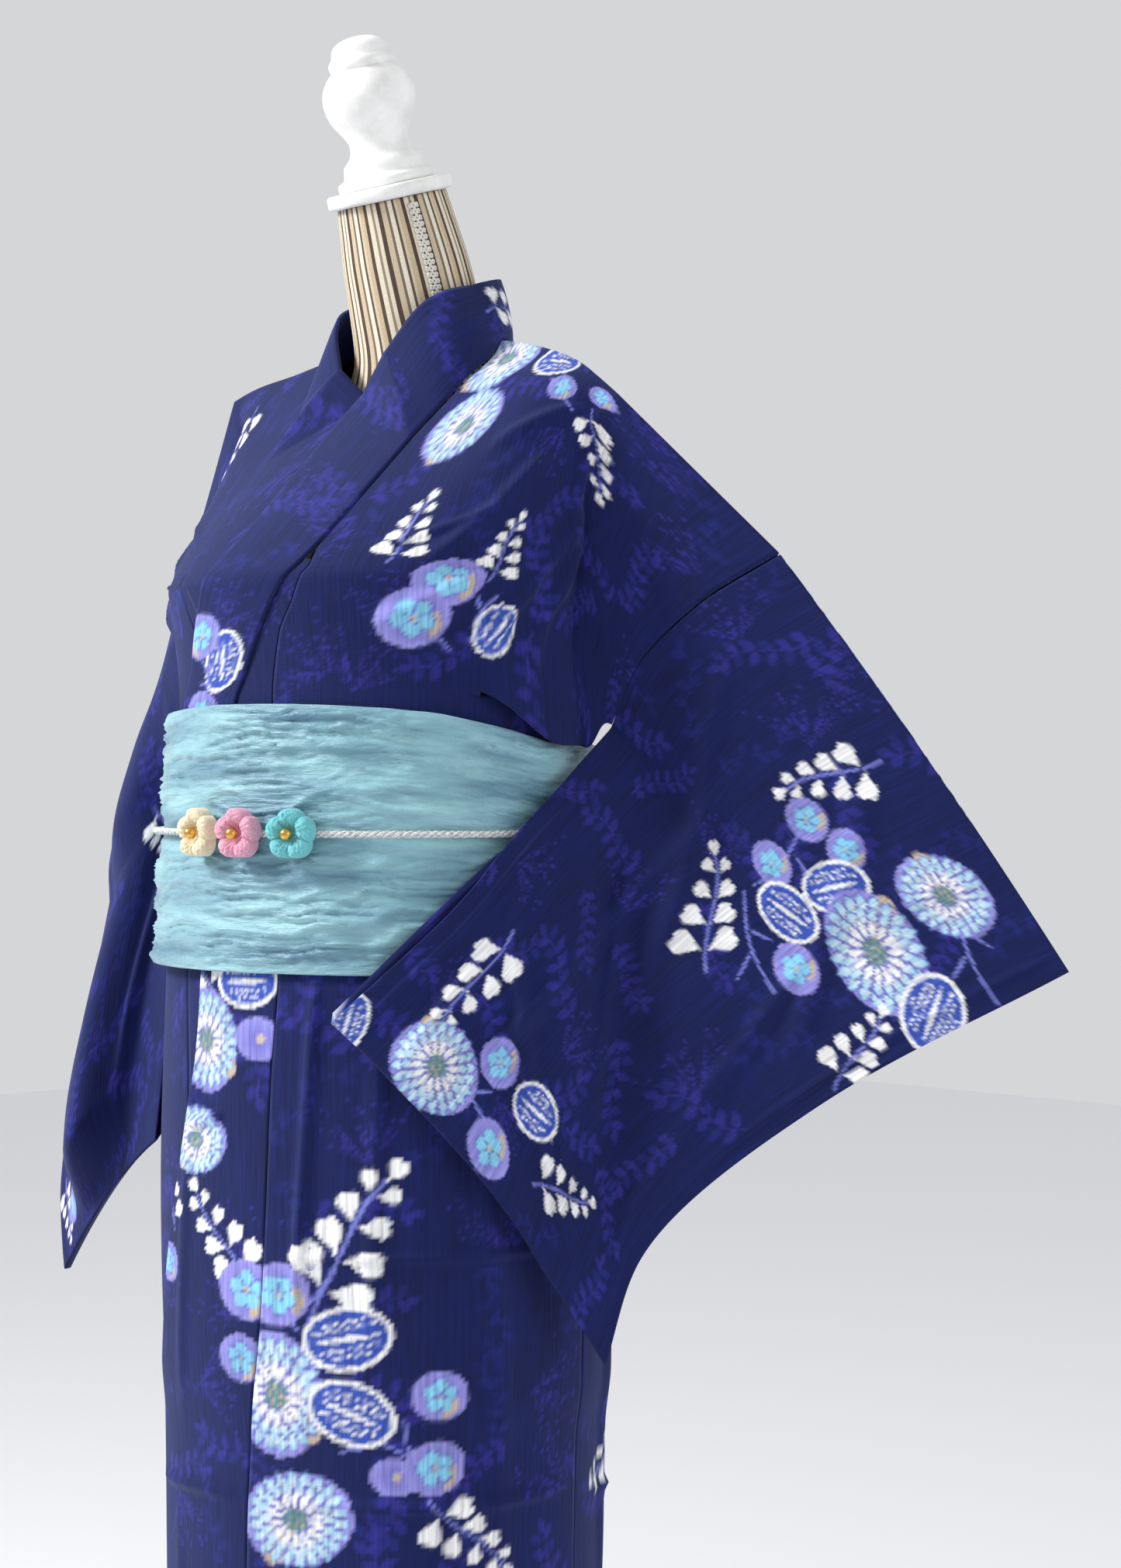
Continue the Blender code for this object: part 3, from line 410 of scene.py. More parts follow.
def printed(entries, seed, area, groups=(), tonal=0.058):
    """Polygons of a panel's print: quiet sprays everywhere, whole groups, then the listed motifs."""
    rng = np.random.default_rng(seed)
    (x0, x1), (y0, y1) = area
    placed = []
    for gy in np.arange(y0, y1, tonal):
        for gx in np.arange(x0, x1, tonal):
            at = np.array([gx, gy]) + rng.uniform(-0.018, 0.018, 2)
            kind = rng.choice(["tonal", "tonal2", "berries"], p=[0.42, 0.30, 0.28])
            placed.append((kind, *at, rng.uniform(0.026, 0.036), rng.uniform(0, 360)))
    for x, y, turn, size in groups:
        c, s = np.cos(np.radians(turn)), np.sin(np.radians(turn))
        for kind, gx, gy, r, own in GROUP:
            across, up = x + size * (gx * c - gy * s), y + size * (gx * s + gy * c)
            placed.append((kind, across, up, size * r, own + turn))
    placed += entries
    shapes = []
    for kind, x, y, size, turn in placed:
        c, s = np.cos(np.radians(turn)), np.sin(np.radians(turn))
        turning = np.array([[c, s], [-s, c]])
        for part in MOTIFS[kind](size):
            shapes.append({"p": part["p"] @ turning + [x, y], "a": part["a"], "b": part["b"],
                           "root": part["root"] @ turning + [x, y], "reach": part["reach"]})
    return shapes


def painted(shapes, low_corner, high_corner, base="navy"):
    """Colours of the print on a fine flat raster, later motifs on top."""
    low_corner = np.array(low_corner)
    count = np.ceil((np.array(high_corner) - low_corner) / PIXEL).astype(int) + 2
    canvas = np.tile(np.array(INK[base]), (count[1], count[0], 1))
    for shape in shapes:
        pts = (shape["p"] - low_corner) / PIXEL
        i0, j0 = np.maximum(np.floor(pts.min(0)).astype(int), 0)
        i1, j1 = np.minimum(np.ceil(pts.max(0)).astype(int) + 1, count)
        if i1 <= i0 or j1 <= j0:
            continue
        x, y = np.meshgrid(np.arange(i0, i1), np.arange(j0, j1))
        inside = np.zeros(x.shape, bool)
        for (xa, ya), (xb, yb) in zip(pts, np.roll(pts, -1, 0)):
            if ya != yb:
                cut = ((ya > y) != (yb > y)) & (x < (xb - xa) * (y - ya) / (yb - ya) + xa)
                inside ^= cut
        root = (shape["root"] - low_corner) / PIXEL
        mix = np.clip(np.hypot(x - root[0], y - root[1]) * PIXEL / shape["reach"], 0, 1)[..., None]
        window = canvas[j0:j1, i0:i1]
        window[inside] = (shape["a"] * (1 - mix) + shape["b"] * mix)[inside]
    return canvas


def cloth(name, u, v, present, place, shapes, thickness=CLOTH_THICK, mat=None, base="navy", tube_like=False):
    """A two-sided sheet: fine printed outer side, inner side four times coarser, closed rim.

    u and v are the flat places of a lattice of 4 n + 1 rows and columns; present marks its cells.
    """
    rows, cols = u.shape
    flat = np.stack([u.ravel(), v.ravel()], 1)
    where = place(flat).reshape(rows, cols, 3)
    from_middle = where - where.mean((0, 1)) if tube_like else where * [1, 1, 0]
    turned_in = np.cross(where[1:, 1:] - where[:-1, :-1], where[1:, :-1] - where[:-1, 1:])
    if (turned_in * from_middle[1:, 1:]).sum() < 0:
        where, present = where[:, ::-1], present[:, ::-1]
        flat = flat.reshape(rows, cols, 2)[:, ::-1].reshape(-1, 2)
    fine = np.repeat(np.repeat(present, 4, 0), 4, 1)
    a, b = where[:-1, :-1], where[:-1, 1:]
    c, d = where[1:, 1:], where[1:, :-1]
    face = np.cross(c - a, d - b)
    area = 0.5 * np.linalg.norm(face, axis=2)[fine].sum()
    face = face / (np.linalg.norm(face, axis=2, keepdims=True) + 1e-15) * fine[..., None]
    normal = np.zeros_like(where)
    normal[:-1, :-1] += face
    normal[:-1, 1:] += face
    normal[1:, 1:] += face
    normal[1:, :-1] += face
    normal /= np.linalg.norm(normal, axis=2, keepdims=True) + 1e-15
    index = np.arange(rows * cols).reshape(rows, cols)
    quads = np.stack([index[:-1, :-1], index[:-1, 1:], index[1:, 1:], index[1:, :-1]], -1)[fine]
    inner = index[::4, ::4] + rows * cols
    back = np.stack([inner[:-1, :-1], inner[1:, :-1], inner[1:, 1:], inner[:-1, 1:]], -1)[present]
    faces = quads.tolist() + back.tolist()
    padded = np.pad(present, 1)
    for r, k in zip(*np.nonzero(present)):
        r4, k4 = 4 * r, 4 * k
        rims = (
            (padded[r, k + 1], index[r4, k4:k4 + 5][::-1], (inner[r, k], inner[r, k + 1])),
            (padded[r + 2, k + 1], index[r4 + 4, k4:k4 + 5], (inner[r + 1, k + 1], inner[r + 1, k])),
            (padded[r + 1, k], index[r4:r4 + 5, k4], (inner[r + 1, k], inner[r, k])),
            (padded[r + 1, k + 2], index[r4:r4 + 5, k4 + 4][::-1], (inner[r, k + 1], inner[r + 1, k + 1])),
        )
        faces += [[*outer, *under] for joined, outer, under in rims if not joined]
    points = where.reshape(-1, 3)
    offset = normal.reshape(-1, 3) * thickness / 2
    verts = np.vstack([points + offset, points - offset])
    used = np.unique(np.concatenate([np.array(f) for f in faces]))
    new = np.full(len(verts), -1)
    new[used] = np.arange(len(used))
    faces = [[int(new[i]) for i in f] for f in faces]
    flat2 = np.vstack([flat, flat])[used]
    low_corner, high_corner = flat2.min(0), flat2.max(0)
    canvas = painted(shapes, low_corner, high_corner, base)
    at = (flat2 - low_corner) / PIXEL
    i = at.astype(int)
    w = (at - i)[:, :, None]
    under, over = (canvas[i[:, 1] + up, i[:, 0]] * (1 - w[:, 0]) + canvas[i[:, 1] + up, i[:, 0] + 1] * w[:, 0]
                   for up in (0, 1))
    colour = under * (1 - w[:, 1]) + over * w[:, 1]
    mesh = bpy.data.meshes.new(name)
    mesh.from_pydata(verts[used].tolist(), [], faces)
    layer = mesh.color_attributes.new("print", "FLOAT_COLOR", "POINT")
    layer.data.foreach_set("color", np.hstack([colour, np.ones((len(colour), 1))]).ravel())
    uv_layer = mesh.uv_layers.new(name="cloth")
    loop_vert = np.zeros(len(mesh.loops), int)
    mesh.loops.foreach_get("vertex_index", loop_vert)
    uv_layer.data.foreach_set("uv", flat2[loop_vert].ravel())
    mesh.shade_smooth()
    mesh.materials.append(mat or cotton)
    obj = bpy.data.objects.new(name, mesh)
    bpy.context.scene.collection.objects.link(obj)
    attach(obj, "root")
    print("cloth", name, len(faces), "faces, area", round(float(area), 4), flush=True)
    return obj


def fours(knots, step):
    """Stations through all knots, in steps of about step, with four fine steps in each."""
    out = [knots[0]]
    for start, end, size in zip(knots[:-1], knots[1:], step):
        count = 4 * max(1, int(round(abs(end - start) / size)))
        out += [start + (end - start) * (i + 1) / count for i in range(count)]
    return np.array(out)


def full_lattice(u, v):
    """Flat places of a lattice that has all its cells."""
    return (np.tile(u[None], (len(v), 1)), np.tile(v[:, None], (1, len(u))),
            np.ones((len(v) // 4, len(u) // 4), bool))


# Creases: straight lines on the flat cloth, each with its height and width
def ridges(flat, lines):
    height = np.zeros(len(flat))
    for x0, y0, x1, y1, tall, wide in lines:
        start = np.array([x0, y0])
        along = np.array([x1 - x0, y1 - y0])
        length = np.linalg.norm(along)
        along = along / length
        rel = flat - start
        far = rel @ along
        side = rel[:, 0] * along[1] - rel[:, 1] * along[0]
        taper = ease(far / (0.25 * length)) * ease((length - far) / (0.25 * length))
        height += 1.6 * tall * np.exp(-(side / wide) ** 2) * taper
    return height


def rumple(flat, amount, seed):
    """Gentle unevenness of hanging cotton."""
    rng = np.random.default_rng(seed)
    out = np.zeros(len(flat))
    for i in range(7):
        k = rng.uniform(20, 75) * np.array([1.0, rng.uniform(-0.5, 0.5)])
        out += np.sin(flat @ k + rng.uniform(0, 6.28)) / 7
    return out * amount


# Body panels: u is metres across from the centre, v metres up from the tie line over the ridge
ACROSS = 0.36
ALONG = 0.29
COLLAR_SEAM = ((0.0, 0.240), (0.055, 0.262), (0.12, 0.250), (0.24, 0.219), (0.36, 0.200),
               (0.53, 0.176), (0.66, 0.150), (0.76, 0.108), (0.84, 0.075), (1.0, 0.012),
               (1.10, -0.030), (1.177, -0.058), (1.24, -0.066), (1.30, -0.110), (1.41, -0.205),
               (1.50, -0.262), (1.60, -0.275), (2.14, -0.285))
OKUMI_SEAM = ((0.0, 0.240), (0.055, 0.262), (0.12, 0.250), (0.24, 0.219), (0.36, 0.200),
              (0.53, 0.176), (0.62, 0.178), (0.74, 0.152), (0.84, 0.116), (1.0, 0.094),
              (1.176, 0.124), (1.25, 0.110), (1.35, 0.098), (1.41, 0.085), (1.48, 0.060),
              (1.57, 0.047), (2.14, 0.040))
LAST_ROW = 1 + TIE_Z - HEM_Z
NAPE_ROW = 0.242
NECK_Q = 0.240


def seam(table, row):
    return curve(row, [r[0] for r in table], [r[1] for r in table])


def v_of(row, back=False):
    if back:
        return ALONG + ALONG * row if row < 1 else 2 * ALONG + row - 1
    return ALONG * (1 - row) if row < 1 else 1 - row


def row_of(v):
    front = np.where(v < 0, 1 - v, 1 - v / ALONG)
    rear = np.where(v < 2 * ALONG, (v - ALONG) / ALONG, 1 + v - 2 * ALONG)
    return np.where(v > ALONG, rear, front)


def flap(q, row, point, normal):
    """Loose side of the left front, which hangs out over the sash below the armpit."""
    wing = q > VALLEY
    fade = 1 - ease((q - VALLEY) / (1 - VALLEY))
    part = np.where(wing, fade, ease((q - 0.46) / 0.20))
    low = ease((row - 0.80) / 0.20)
    grow = np.minimum(1.0, 3.0 * np.maximum(0.0, q - 0.46) / 0.20)
    reach = 0.013 * low * np.where(wing, fade, grow)
    point = point + normal * reach[:, None]
    point[:, 2] -= 0.036 * part * low
    return point


def body_place(sign, lines, amount, seed):
    def place(flat):
        q, v = flat[:, 0] / ACROSS, flat[:, 1]
        back = v > ALONG
        row = row_of(v)
        point = drape(sign * q, row, back)
        normal = drape_normal(sign * np.minimum(q, VALLEY - 0.011), row, back)
        if sign > 0:
            lift = np.where(back, 0, lift_of_left(q, row))
            point = point + normal * lift[:, None]
            loose = ~back & (row < 1)
            point[loose] = flap(q[loose], row[loose], point[loose], normal[loose])
        free = ease(np.abs(v) / 0.03) * ease((v_of(1, True) - v) ** 2 / 0.03 ** 2)
        height = ridges(flat, lines) + rumple(flat, amount, seed)
        return point + normal * (height * free)[:, None]
    return place


def body_lattice(sign, step, back_step):
    """Flat lattice of a body panel from its front hem over the ridge to its back hem."""
    knots = (v_of(LAST_ROW), 0.0, v_of(0.985), ALONG, v_of(0.94, True), 2 * ALONG, v_of(LAST_ROW, True))
    v = fours(knots, (step, 0.005, step, back_step, 0.02, back_step))
    row = row_of(v)
    back = v > ALONG + 1e-9
    neck = 0.0011 + NECK_Q * np.sqrt(np.maximum(0, 1 - (row / NAPE_ROW) ** 2))
    inner = np.where(back, neck, seam(OKUMI_SEAM, row) + 0.0012)
    main, wing = 4 * int(0.24 / step), 4 * int(0.10 / step)
    side = VALLEY - 0.0012
    part = np.linspace(0, 1, main + 1)
    q = inner[:, None] + (side - inner[:, None]) * part[None]
    wings = side + (0.9985 - side) * np.linspace(0, 1, wing + 1)[1:]
    q = np.hstack([q, np.tile(wings, (len(v), 1))])
    centre = v[2::4]
    present = np.ones((len(v) // 4, q.shape[1] // 4), bool)
    upper = (centre > v_of(0.985)) & (centre < v_of(0.94, True))
    present[~upper, main // 4:] = False
    slit = (centre > 0) & (centre < v_of(0.985))
    if sign > 0:
        loose = q[2::4, 2::4] > 0.475
        present[slit[:, None] & loose] = False
    return q * ACROSS, np.tile(v[:, None], (1, q.shape[1])), present


def body_entry(kind, q, row, size, turn=0.0, back=False):
    return (kind, q * ACROSS, v_of(row, back), size, turn)


# Left half: the print follows the photo on the chest, the shoulder and the front of the skirt
left_print = [body_entry(*motif) for motif in (
    ("branch", 0.40, 0.80, 0.026, 110), ("branch", 0.49, 0.80, 0.020, 60),
    ("spray", 0.33, 0.52, 0.032, 70), ("spray", 0.52, 0.62, 0.028, 60),
    ("plum", 0.42, 0.70, 0.021, 20), ("plum", 0.36, 0.80, 0.022, 30),
    ("kanoko", 0.510, 0.829, 0.018, 60), ("spray", 0.719, 0.27, 0.034, 285),
    ("branch", 0.58, 0.12, 0.030, 120), ("kiku", 0.315, 0.045, 0.030, 10),
    ("kiku", 0.335, 0.215, 0.028, 20), ("kanoko", 0.495, 0.030, 0.024, 12),
    ("plum", 0.565, 0.13, 0.014), ("plum", 0.69, 0.085, 0.014, 30),
    ("branch", 0.20, 1.42, 0.055, 80), ("branch", 0.33, 1.47, 0.045, 150),
    ("spray", 0.245, 1.350, 0.050, 50), ("plum", 0.125, 1.385, 0.020, 40),
    ("kiku", 0.115, 1.450, 0.038, 95), ("kiku", 0.150, 1.530, 0.036, 15),
    ("kanoko", 0.245, 1.410, 0.026, 15), ("kanoko", 0.250, 1.458, 0.026, 340),
    ("plum", 0.400, 1.445, 0.016), ("disc", 0.325, 1.498, 0.014),
    ("plum", 0.395, 1.492, 0.018, 20), ("spray", 0.455, 1.535, 0.034, 310),
)]
left_groups = [(0.14, -0.92, 20, 1.1), (0.20, 0.72, 200, 1.0), (0.10, 1.06, 60, 1.1), (0.20, 1.40, 150, 1.0),
               (0.30, 0.42, 80, 0.9)]
left_creases = [
    (0.02, -0.52, 0.26, -0.515, 0.0022, 0.004), (0.072, -0.16, 0.055, -0.42, 0.0030, 0.004),
    (0.11, -0.20, 0.10, -0.45, 0.0016, 0.006), (0.17, -0.17, 0.19, -0.60, 0.0018, 0.009),
    (0.05, -0.55, 0.07, -1.05, 0.0016, 0.008), (0.15, -0.6, 0.14, -1.1, 0.0020, 0.010),
    (0.10, 0.05, 0.19, 0.10, 0.0036, 0.006), (0.12, 0.03, 0.20, 0.06, 0.0030, 0.005),
    (0.16, 0.02, 0.27, 0.16, 0.0040, 0.007), (0.20, 0.01, 0.30, 0.20, 0.0030, 0.006),
    (0.24, 0.05, 0.26, 0.27, 0.0030, 0.008), (0.02, -0.36, 0.26, -0.355, 0.0016, 0.003),
    (0.13, 0.10, 0.22, 0.20, 0.0028, 0.008), (0.09, 0.13, 0.20, 0.155, 0.0014, 0.004),
    (0.15, 0.20, 0.24, 0.24, 0.0022, 0.007), (0.03, 1.1, 0.24, 1.11, 0.0020, 0.004),
    (0.12, 0.62, 0.13, 1.0, 0.0022, 0.009), (0.20, 0.60, 0.19, 1.3, 0.0022, 0.010),
    (0.05, 0.50, 0.16, 0.55, 0.0026, 0.006), (0.05, 0.40, 0.22, 0.44, 0.0022, 0.007),
]
shapes = printed(left_print, 11, ((-0.01, 0.37), (-1.14, 1.72)), left_groups)
left_body = cloth("robe_body_left", *body_lattice(1, 0.0100, 0.022),
                  body_place(1, left_creases, 0.0009, 3), shapes)

# Right half: only its shoulder and the crossed chest show from the front
right_print = [body_entry(*motif) for motif in (
    ("spray", 0.52, 0.22, 0.034, 250), ("plum", 0.546, 0.77, 0.019),
    ("kanoko", 0.47, 0.865, 0.024, 20), ("plum", 0.55, 0.96, 0.019),
    ("spray", 0.66, 0.955, 0.034, 200), ("kanoko", 0.66, 0.58, 0.022, 80),
    ("branch", 0.58, 0.88, 0.030, 40),
)]
right_groups = [(0.12, -0.6, 20, 1.0), (0.18, 0.76, 100, 1.0), (0.12, 1.12, 10, 1.1), (0.18, 1.48, 220, 1.0)]
right_creases = [
    (0.10, 0.05, 0.20, 0.12, 0.0028, 0.006), (0.12, 0.12, 0.24, 0.17, 0.0026, 0.007),
    (0.08, 0.16, 0.20, 0.17, 0.0014, 0.003), (0.09, 0.10, 0.19, 0.11, 0.0014, 0.003),
    (0.20, -0.20, 0.21, -0.60, 0.0020, 0.009), (0.14, -0.45, 0.25, -0.46, 0.0022, 0.004),
    (0.06, 1.1, 0.24, 1.11, 0.0020, 0.004), (0.12, 0.62, 0.11, 1.0, 0.0022, 0.009),
    (0.05, 0.50, 0.16, 0.55, 0.0026, 0.006), (0.05, 0.40, 0.22, 0.44, 0.0022, 0.007),
    (0.19, 0.66, 0.20, 1.4, 0.0022, 0.010),
]
shapes = printed(right_print, 12, ((-0.01, 0.37), (-1.14, 1.72)), right_groups)
right_body = cloth("robe_body_right", *body_lattice(-1, 0.0140, 0.022),
                   body_place(-1, right_creases, 0.0009, 4), shapes)


# Overlap panels: from a point on the chest down to the hem, the left one on the outside
def okumi_lattice(step):
    v = fours((v_of(LAST_ROW), 0.0, v_of(0.60)), (step, step))
    row = row_of(v)
    outer = seam(OKUMI_SEAM, row) - 0.0012
    inner = seam(COLLAR_SEAM, row) + 0.0012
    part = np.linspace(0, 1, 4 * int(0.11 / step) + 1)
    q = inner[:, None] + (outer - inner)[:, None] * part[None]
    present = np.ones((len(v) // 4, len(part) // 4), bool)
    return q * ACROSS, np.tile(v[:, None], (1, len(part))), present


okumi_print = [body_entry(*motif) for motif in (
    ("spray", -0.04, 1.185, 0.030, 120), ("kiku", -0.035, 1.225, 0.032, 100),
    ("kiku", -0.06, 1.292, 0.026, 10), ("kanoko", 0.060, 1.185, 0.022, 5),
    ("disc", 0.085, 1.222, 0.016), ("spray", 0.005, 1.355, 0.036, 120),
    ("spray", -0.16, 1.33, 0.028, 100), ("plum", -0.165, 1.378, 0.014),
    ("plum", 0.045, 1.43, 0.016), ("plum", 0.06, 1.385, 0.020),
)]
okumi_creases = [(-0.03, -0.283, 0.006, -0.273, 0.0030, 0.003), (-0.10, -0.53, 0.015, -0.52, 0.0022, 0.004),
                 (-0.02, -0.2, -0.05, -0.5, 0.0014, 0.006), (-0.06, -0.5, -0.05, -1.1, 0.0016, 0.007)]
shapes = printed(okumi_print, 13, ((-0.11, 0.08), (-1.14, 0.13)))
left_okumi = cloth("robe_okumi_left", *okumi_lattice(0.0088), body_place(1, okumi_creases, 0.0006, 3), shapes)
shapes = printed([], 14, ((-0.11, 0.08), (-1.14, 0.13)))
right_okumi = cloth("robe_okumi_right", *okumi_lattice(0.02), body_place(-1, [], 0.0004, 4), shapes)


# Sleeves: flat tubes hung from the armholes, front layer down, bottom fold, back layer up
SLEEVES = {
    1: {"wrist": ((0, 0.440, 0.180, 1.012), (0.47, 0.322, 0.075, 0.926),
                  (0.82, 0.228, 0.012, 0.824), (1, 0.211, 0.000, 0.759)),
        "furi": ((0, 0.178, 0.040, 1.167), (0.5, 0.170, -0.068, 1.074), (1, 0.105, -0.139, 0.980)),
        "furi_back": ((0, 0.190, 0.085, 1.167), (0.5, 0.160, -0.062, 1.076), (1, 0.101, -0.134, 0.986)),
        "away": (-0.68, 0.72, -0.12), "ends": (0.0, 0.38, 1.0, 0.83), "fold": (0.020, -0.010, 0.005),
        "wide": 0.035, "deep": -0.9, "bows": (0.006, 0.016)},
    -1: {"wrist": ((0, -0.410, 0.075, 1.055), (0.47, -0.382, 0.025, 0.930),
                   (0.82, -0.357, -0.015, 0.820), (1, -0.335, -0.028, 0.757)),
         "furi": ((0, -0.190, 0.012, 1.162), (0.5, -0.200, -0.022, 1.020), (1, -0.205, -0.040, 0.868)),
         "furi_back": ((0, -0.195, 0.075, 1.162), (0.5, -0.215, 0.020, 1.020), (1, -0.212, -0.030, 0.872)),
         "away": (-0.20, 0.97, 0.0), "ends": (0.42, 0.0, 0.62, 1.0), "fold": (0.020, -0.046, 0.0),
         "wide": 0.075, "deep": 1.0, "bows": (0.004, 0.010)},
}
ARMPIT = 0.38
SLEEVE_W = 0.33
SLEEVE_D = 0.49
FOLD_STRIP = 0.012
LAYER_GAP = 0.006


def away_of(sign):
    """Unit direction from a sleeve's front layer to its back layer."""
    away = np.array(SLEEVES[sign]["away"])
    return away / np.linalg.norm(away)


def sleeve_layer(sign, k, v, back):
    """Point of one sleeve layer: k from the body to the wrist, v from the top fold down."""
    data = SLEEVES[sign]
    away = away_of(sign)

    def left(t):
        hole = from_table(ARMHOLES[(sign, int(back))], np.minimum(t / ARMPIT, 1))
        open_edge = from_table(data["furi_back" if back else "furi"], (t - ARMPIT) / (1 - ARMPIT))
        edge = np.where((t <= ARMPIT)[:, None], hole, open_edge)
        if back:
            edge = edge + away * (LAYER_GAP * (1 - ease(t / 0.15)))[:, None]
        return edge

    def right(t):
        mouth = 0.024 * ease(t / 0.15) * (1 - ease((t - 0.40) / 0.12))
        return from_table(data["wrist"], t) + away * ((LAYER_GAP + mouth) * back)[:, None]

    zero, one = np.zeros_like(v), np.ones_like(v)
    bow = 4 * k * (1 - k)
    lift = np.array([0.0, 0.0, 1.0])
    kk, vv = k[:, None], v[:, None]
    a, b, c, d = left(zero), right(zero), left(one), right(one)
    top = a * (1 - kk) + b * kk + lift * (data["bows"][0] * bow)[:, None]
    bottom = c * (1 - kk) + d * kk + lift * (data["bows"][1] * bow)[:, None]
    point = left(v) * (1 - kk) + right(v) * kk + top * (1 - vv) + bottom * vv
    point = point - (a * (1 - kk) + b * kk) * (1 - vv) - (c * (1 - kk) + d * kk) * vv
    k0, v0, k1, v1 = data["ends"]
    along = np.array([(k1 - k0) * SLEEVE_W, (v1 - v0) * SLEEVE_D])
    along /= np.linalg.norm(along)
    far = (k - k0) * SLEEVE_W * along[1] - (v - v0) * SLEEVE_D * along[0]
    rim = ease((k - 0.10) / 0.28) * ease(v / 0.30) * ease((1 - v) / 0.15) * ease((1 - k) / 0.30)
    point = point + np.array(data["fold"]) * (data["deep"] * rim * np.exp(-(far / data["wide"]) ** 2))[:, None]
    if back:
        belly = 0.016 * ease(k / 0.3) * ease((1 - k) / 0.3) * ease(v / 0.3) * ease((1 - v) / 0.3)
        point = point + away * belly[:, None]
    margin = 0.012 if back else 0.020
    wide = curve(point[:, 2], RING_Z, RING_WIDTH) + margin
    deep = curve(point[:, 2], RING_Z, RING_DEPTH) + margin
    ratio = np.sqrt((point[:, 0] / wide) ** 2 + (point[:, 1] / deep) ** 2)
    push = np.where((ratio < 1) & (point[:, 2] <= TIE_Z), ratio, 1.0)
    point[:, :2] /= push[:, None]
    return point


def sleeve_place(sign, lines, amount, seed):
    def place(flat):
        k = flat[:, 0] / SLEEVE_W
        w = flat[:, 1] / SLEEVE_D
        strip = FOLD_STRIP
        front_v = np.clip(w, 0, 1)
        back_v = np.clip(2 + strip - w, 0, 1)
        front = sleeve_layer(sign, k, front_v, False)
        behind = sleeve_layer(sign, k, back_v, True)
        mix = np.clip((w - 1) / strip, 0, 1) * (1 - np.clip((w - 2 - strip) / strip, 0, 1))
        point = front * (1 - mix[:, None]) + behind * mix[:, None]
        top = w > 2 + strip
        fold = sleeve_layer(sign, k, np.zeros_like(k), False)
        over = sleeve_layer(sign, k, np.zeros_like(k), True)
        back_mix = np.clip((w - 2 - strip) / strip, 0, 1)[:, None]
        point = np.where(top[:, None], over * (1 - back_mix) + fold * back_mix, point)
        calm = ease(k / 0.06) * ease((1 - np.abs(w - 0.5) * 2) / 0.08)
        height = (ridges(flat, lines) + rumple(flat, amount, seed)) * calm
        return point - away_of(sign) * height[:, None]
    return place


def sleeve_lattice(step, back_step):
    strip = FOLD_STRIP * SLEEVE_D
    u = fours((0.0016 * SLEEVE_W, SLEEVE_W), (step,))
    v = fours((0.0, SLEEVE_D, SLEEVE_D + strip, 2 * SLEEVE_D + strip, 2 * (SLEEVE_D + strip) - 0.0008),
              (step, 0.006, back_step, 0.006))
    return full_lattice(u, v)


def sleeve_entry(kind, k, v, size, turn=0.0):
    return (kind, k * SLEEVE_W, v * SLEEVE_D, size, turn)


left_sleeve_print = [sleeve_entry(*motif) for motif in (
    ("branch", 0.58, 0.27, 0.050, 60), ("branch", 0.88, 0.10, 0.040, 20),
    ("branch", 0.64, 0.40, 0.040, 20), ("spray", 0.455, 0.130, 0.036, 95),
    ("spray", 0.520, 0.440, 0.044, 215), ("plum", 0.530, 0.300, 0.016),
    ("plum", 0.505, 0.205, 0.015), ("plum", 0.600, 0.185, 0.014, 30),
    ("plum", 0.735, 0.375, 0.018), ("kanoko", 0.630, 0.330, 0.025, 340),
    ("kanoko", 0.650, 0.235, 0.024, 290), ("kiku", 0.800, 0.245, 0.042, 10),
    ("kiku", 0.770, 0.098, 0.032, 320), ("kanoko", 0.955, 0.225, 0.028, 60),
    ("spray", 0.950, 0.365, 0.034, 240), ("spray", 0.200, 0.800, 0.044, 75),
    ("branch", 0.42, 0.91, 0.040, 10), ("kiku", 0.275, 0.935, 0.038, 350),
    ("plum", 0.405, 0.850, 0.018), ("plum", 0.500, 0.955, 0.020),
    ("kanoko", 0.560, 0.845, 0.023, 350), ("spray", 0.730, 0.885, 0.032, 315),
    ("kanoko", 0.03, 0.985, 0.022, 60),
)]
left_sleeve_groups = [(0.10, 1.02, 30, 1.0), (0.26, 1.30, 210, 1.0)]
left_sleeve_creases = [
    (0.03, 0.05, 0.20, 0.32, 0.0040, 0.010), (0.06, 0.20, 0.26, 0.40, 0.0030, 0.008),
    (0.02, 0.33, 0.30, 0.47, 0.0030, 0.007), (0.16, 0.03, 0.30, 0.24, 0.0028, 0.010),
    (0.22, 0.10, 0.32, 0.45, 0.0022, 0.006), (0.10, 0.40, 0.31, 0.42, 0.0022, 0.004),
    (0.04, 0.60, 0.30, 0.75, 0.0030, 0.010), (0.08, 0.85, 0.28, 0.62, 0.0030, 0.010),
    (0.316, -0.10, 0.316, 0.60, 0.0012, 0.0022), (0.05, 0.36, 0.09, 0.58, 0.0040, 0.009),
    (0.020, 0.16, 0.020, 0.60, 0.0012, 0.0022), (0.11, 0.10, 0.13, 0.48, 0.0036, 0.010),
]
shapes = printed(left_sleeve_print, 21, ((0, 0.34), (0, 0.99)), left_sleeve_groups)
left_sleeve = cloth("robe_sleeve_left", *sleeve_lattice(0.0076, 0.018),
                    sleeve_place(1, left_sleeve_creases, 0.0010, 6), shapes, tube_like=True)
right_sleeve_print = [sleeve_entry(*motif) for motif in (
    ("kanoko", 0.82, 0.80, 0.024, 60), ("spray", 0.93, 0.90, 0.030, 90),
    ("plum", 0.86, 0.92, 0.016), ("spray", 0.30, 0.40, 0.034, 100),
)]
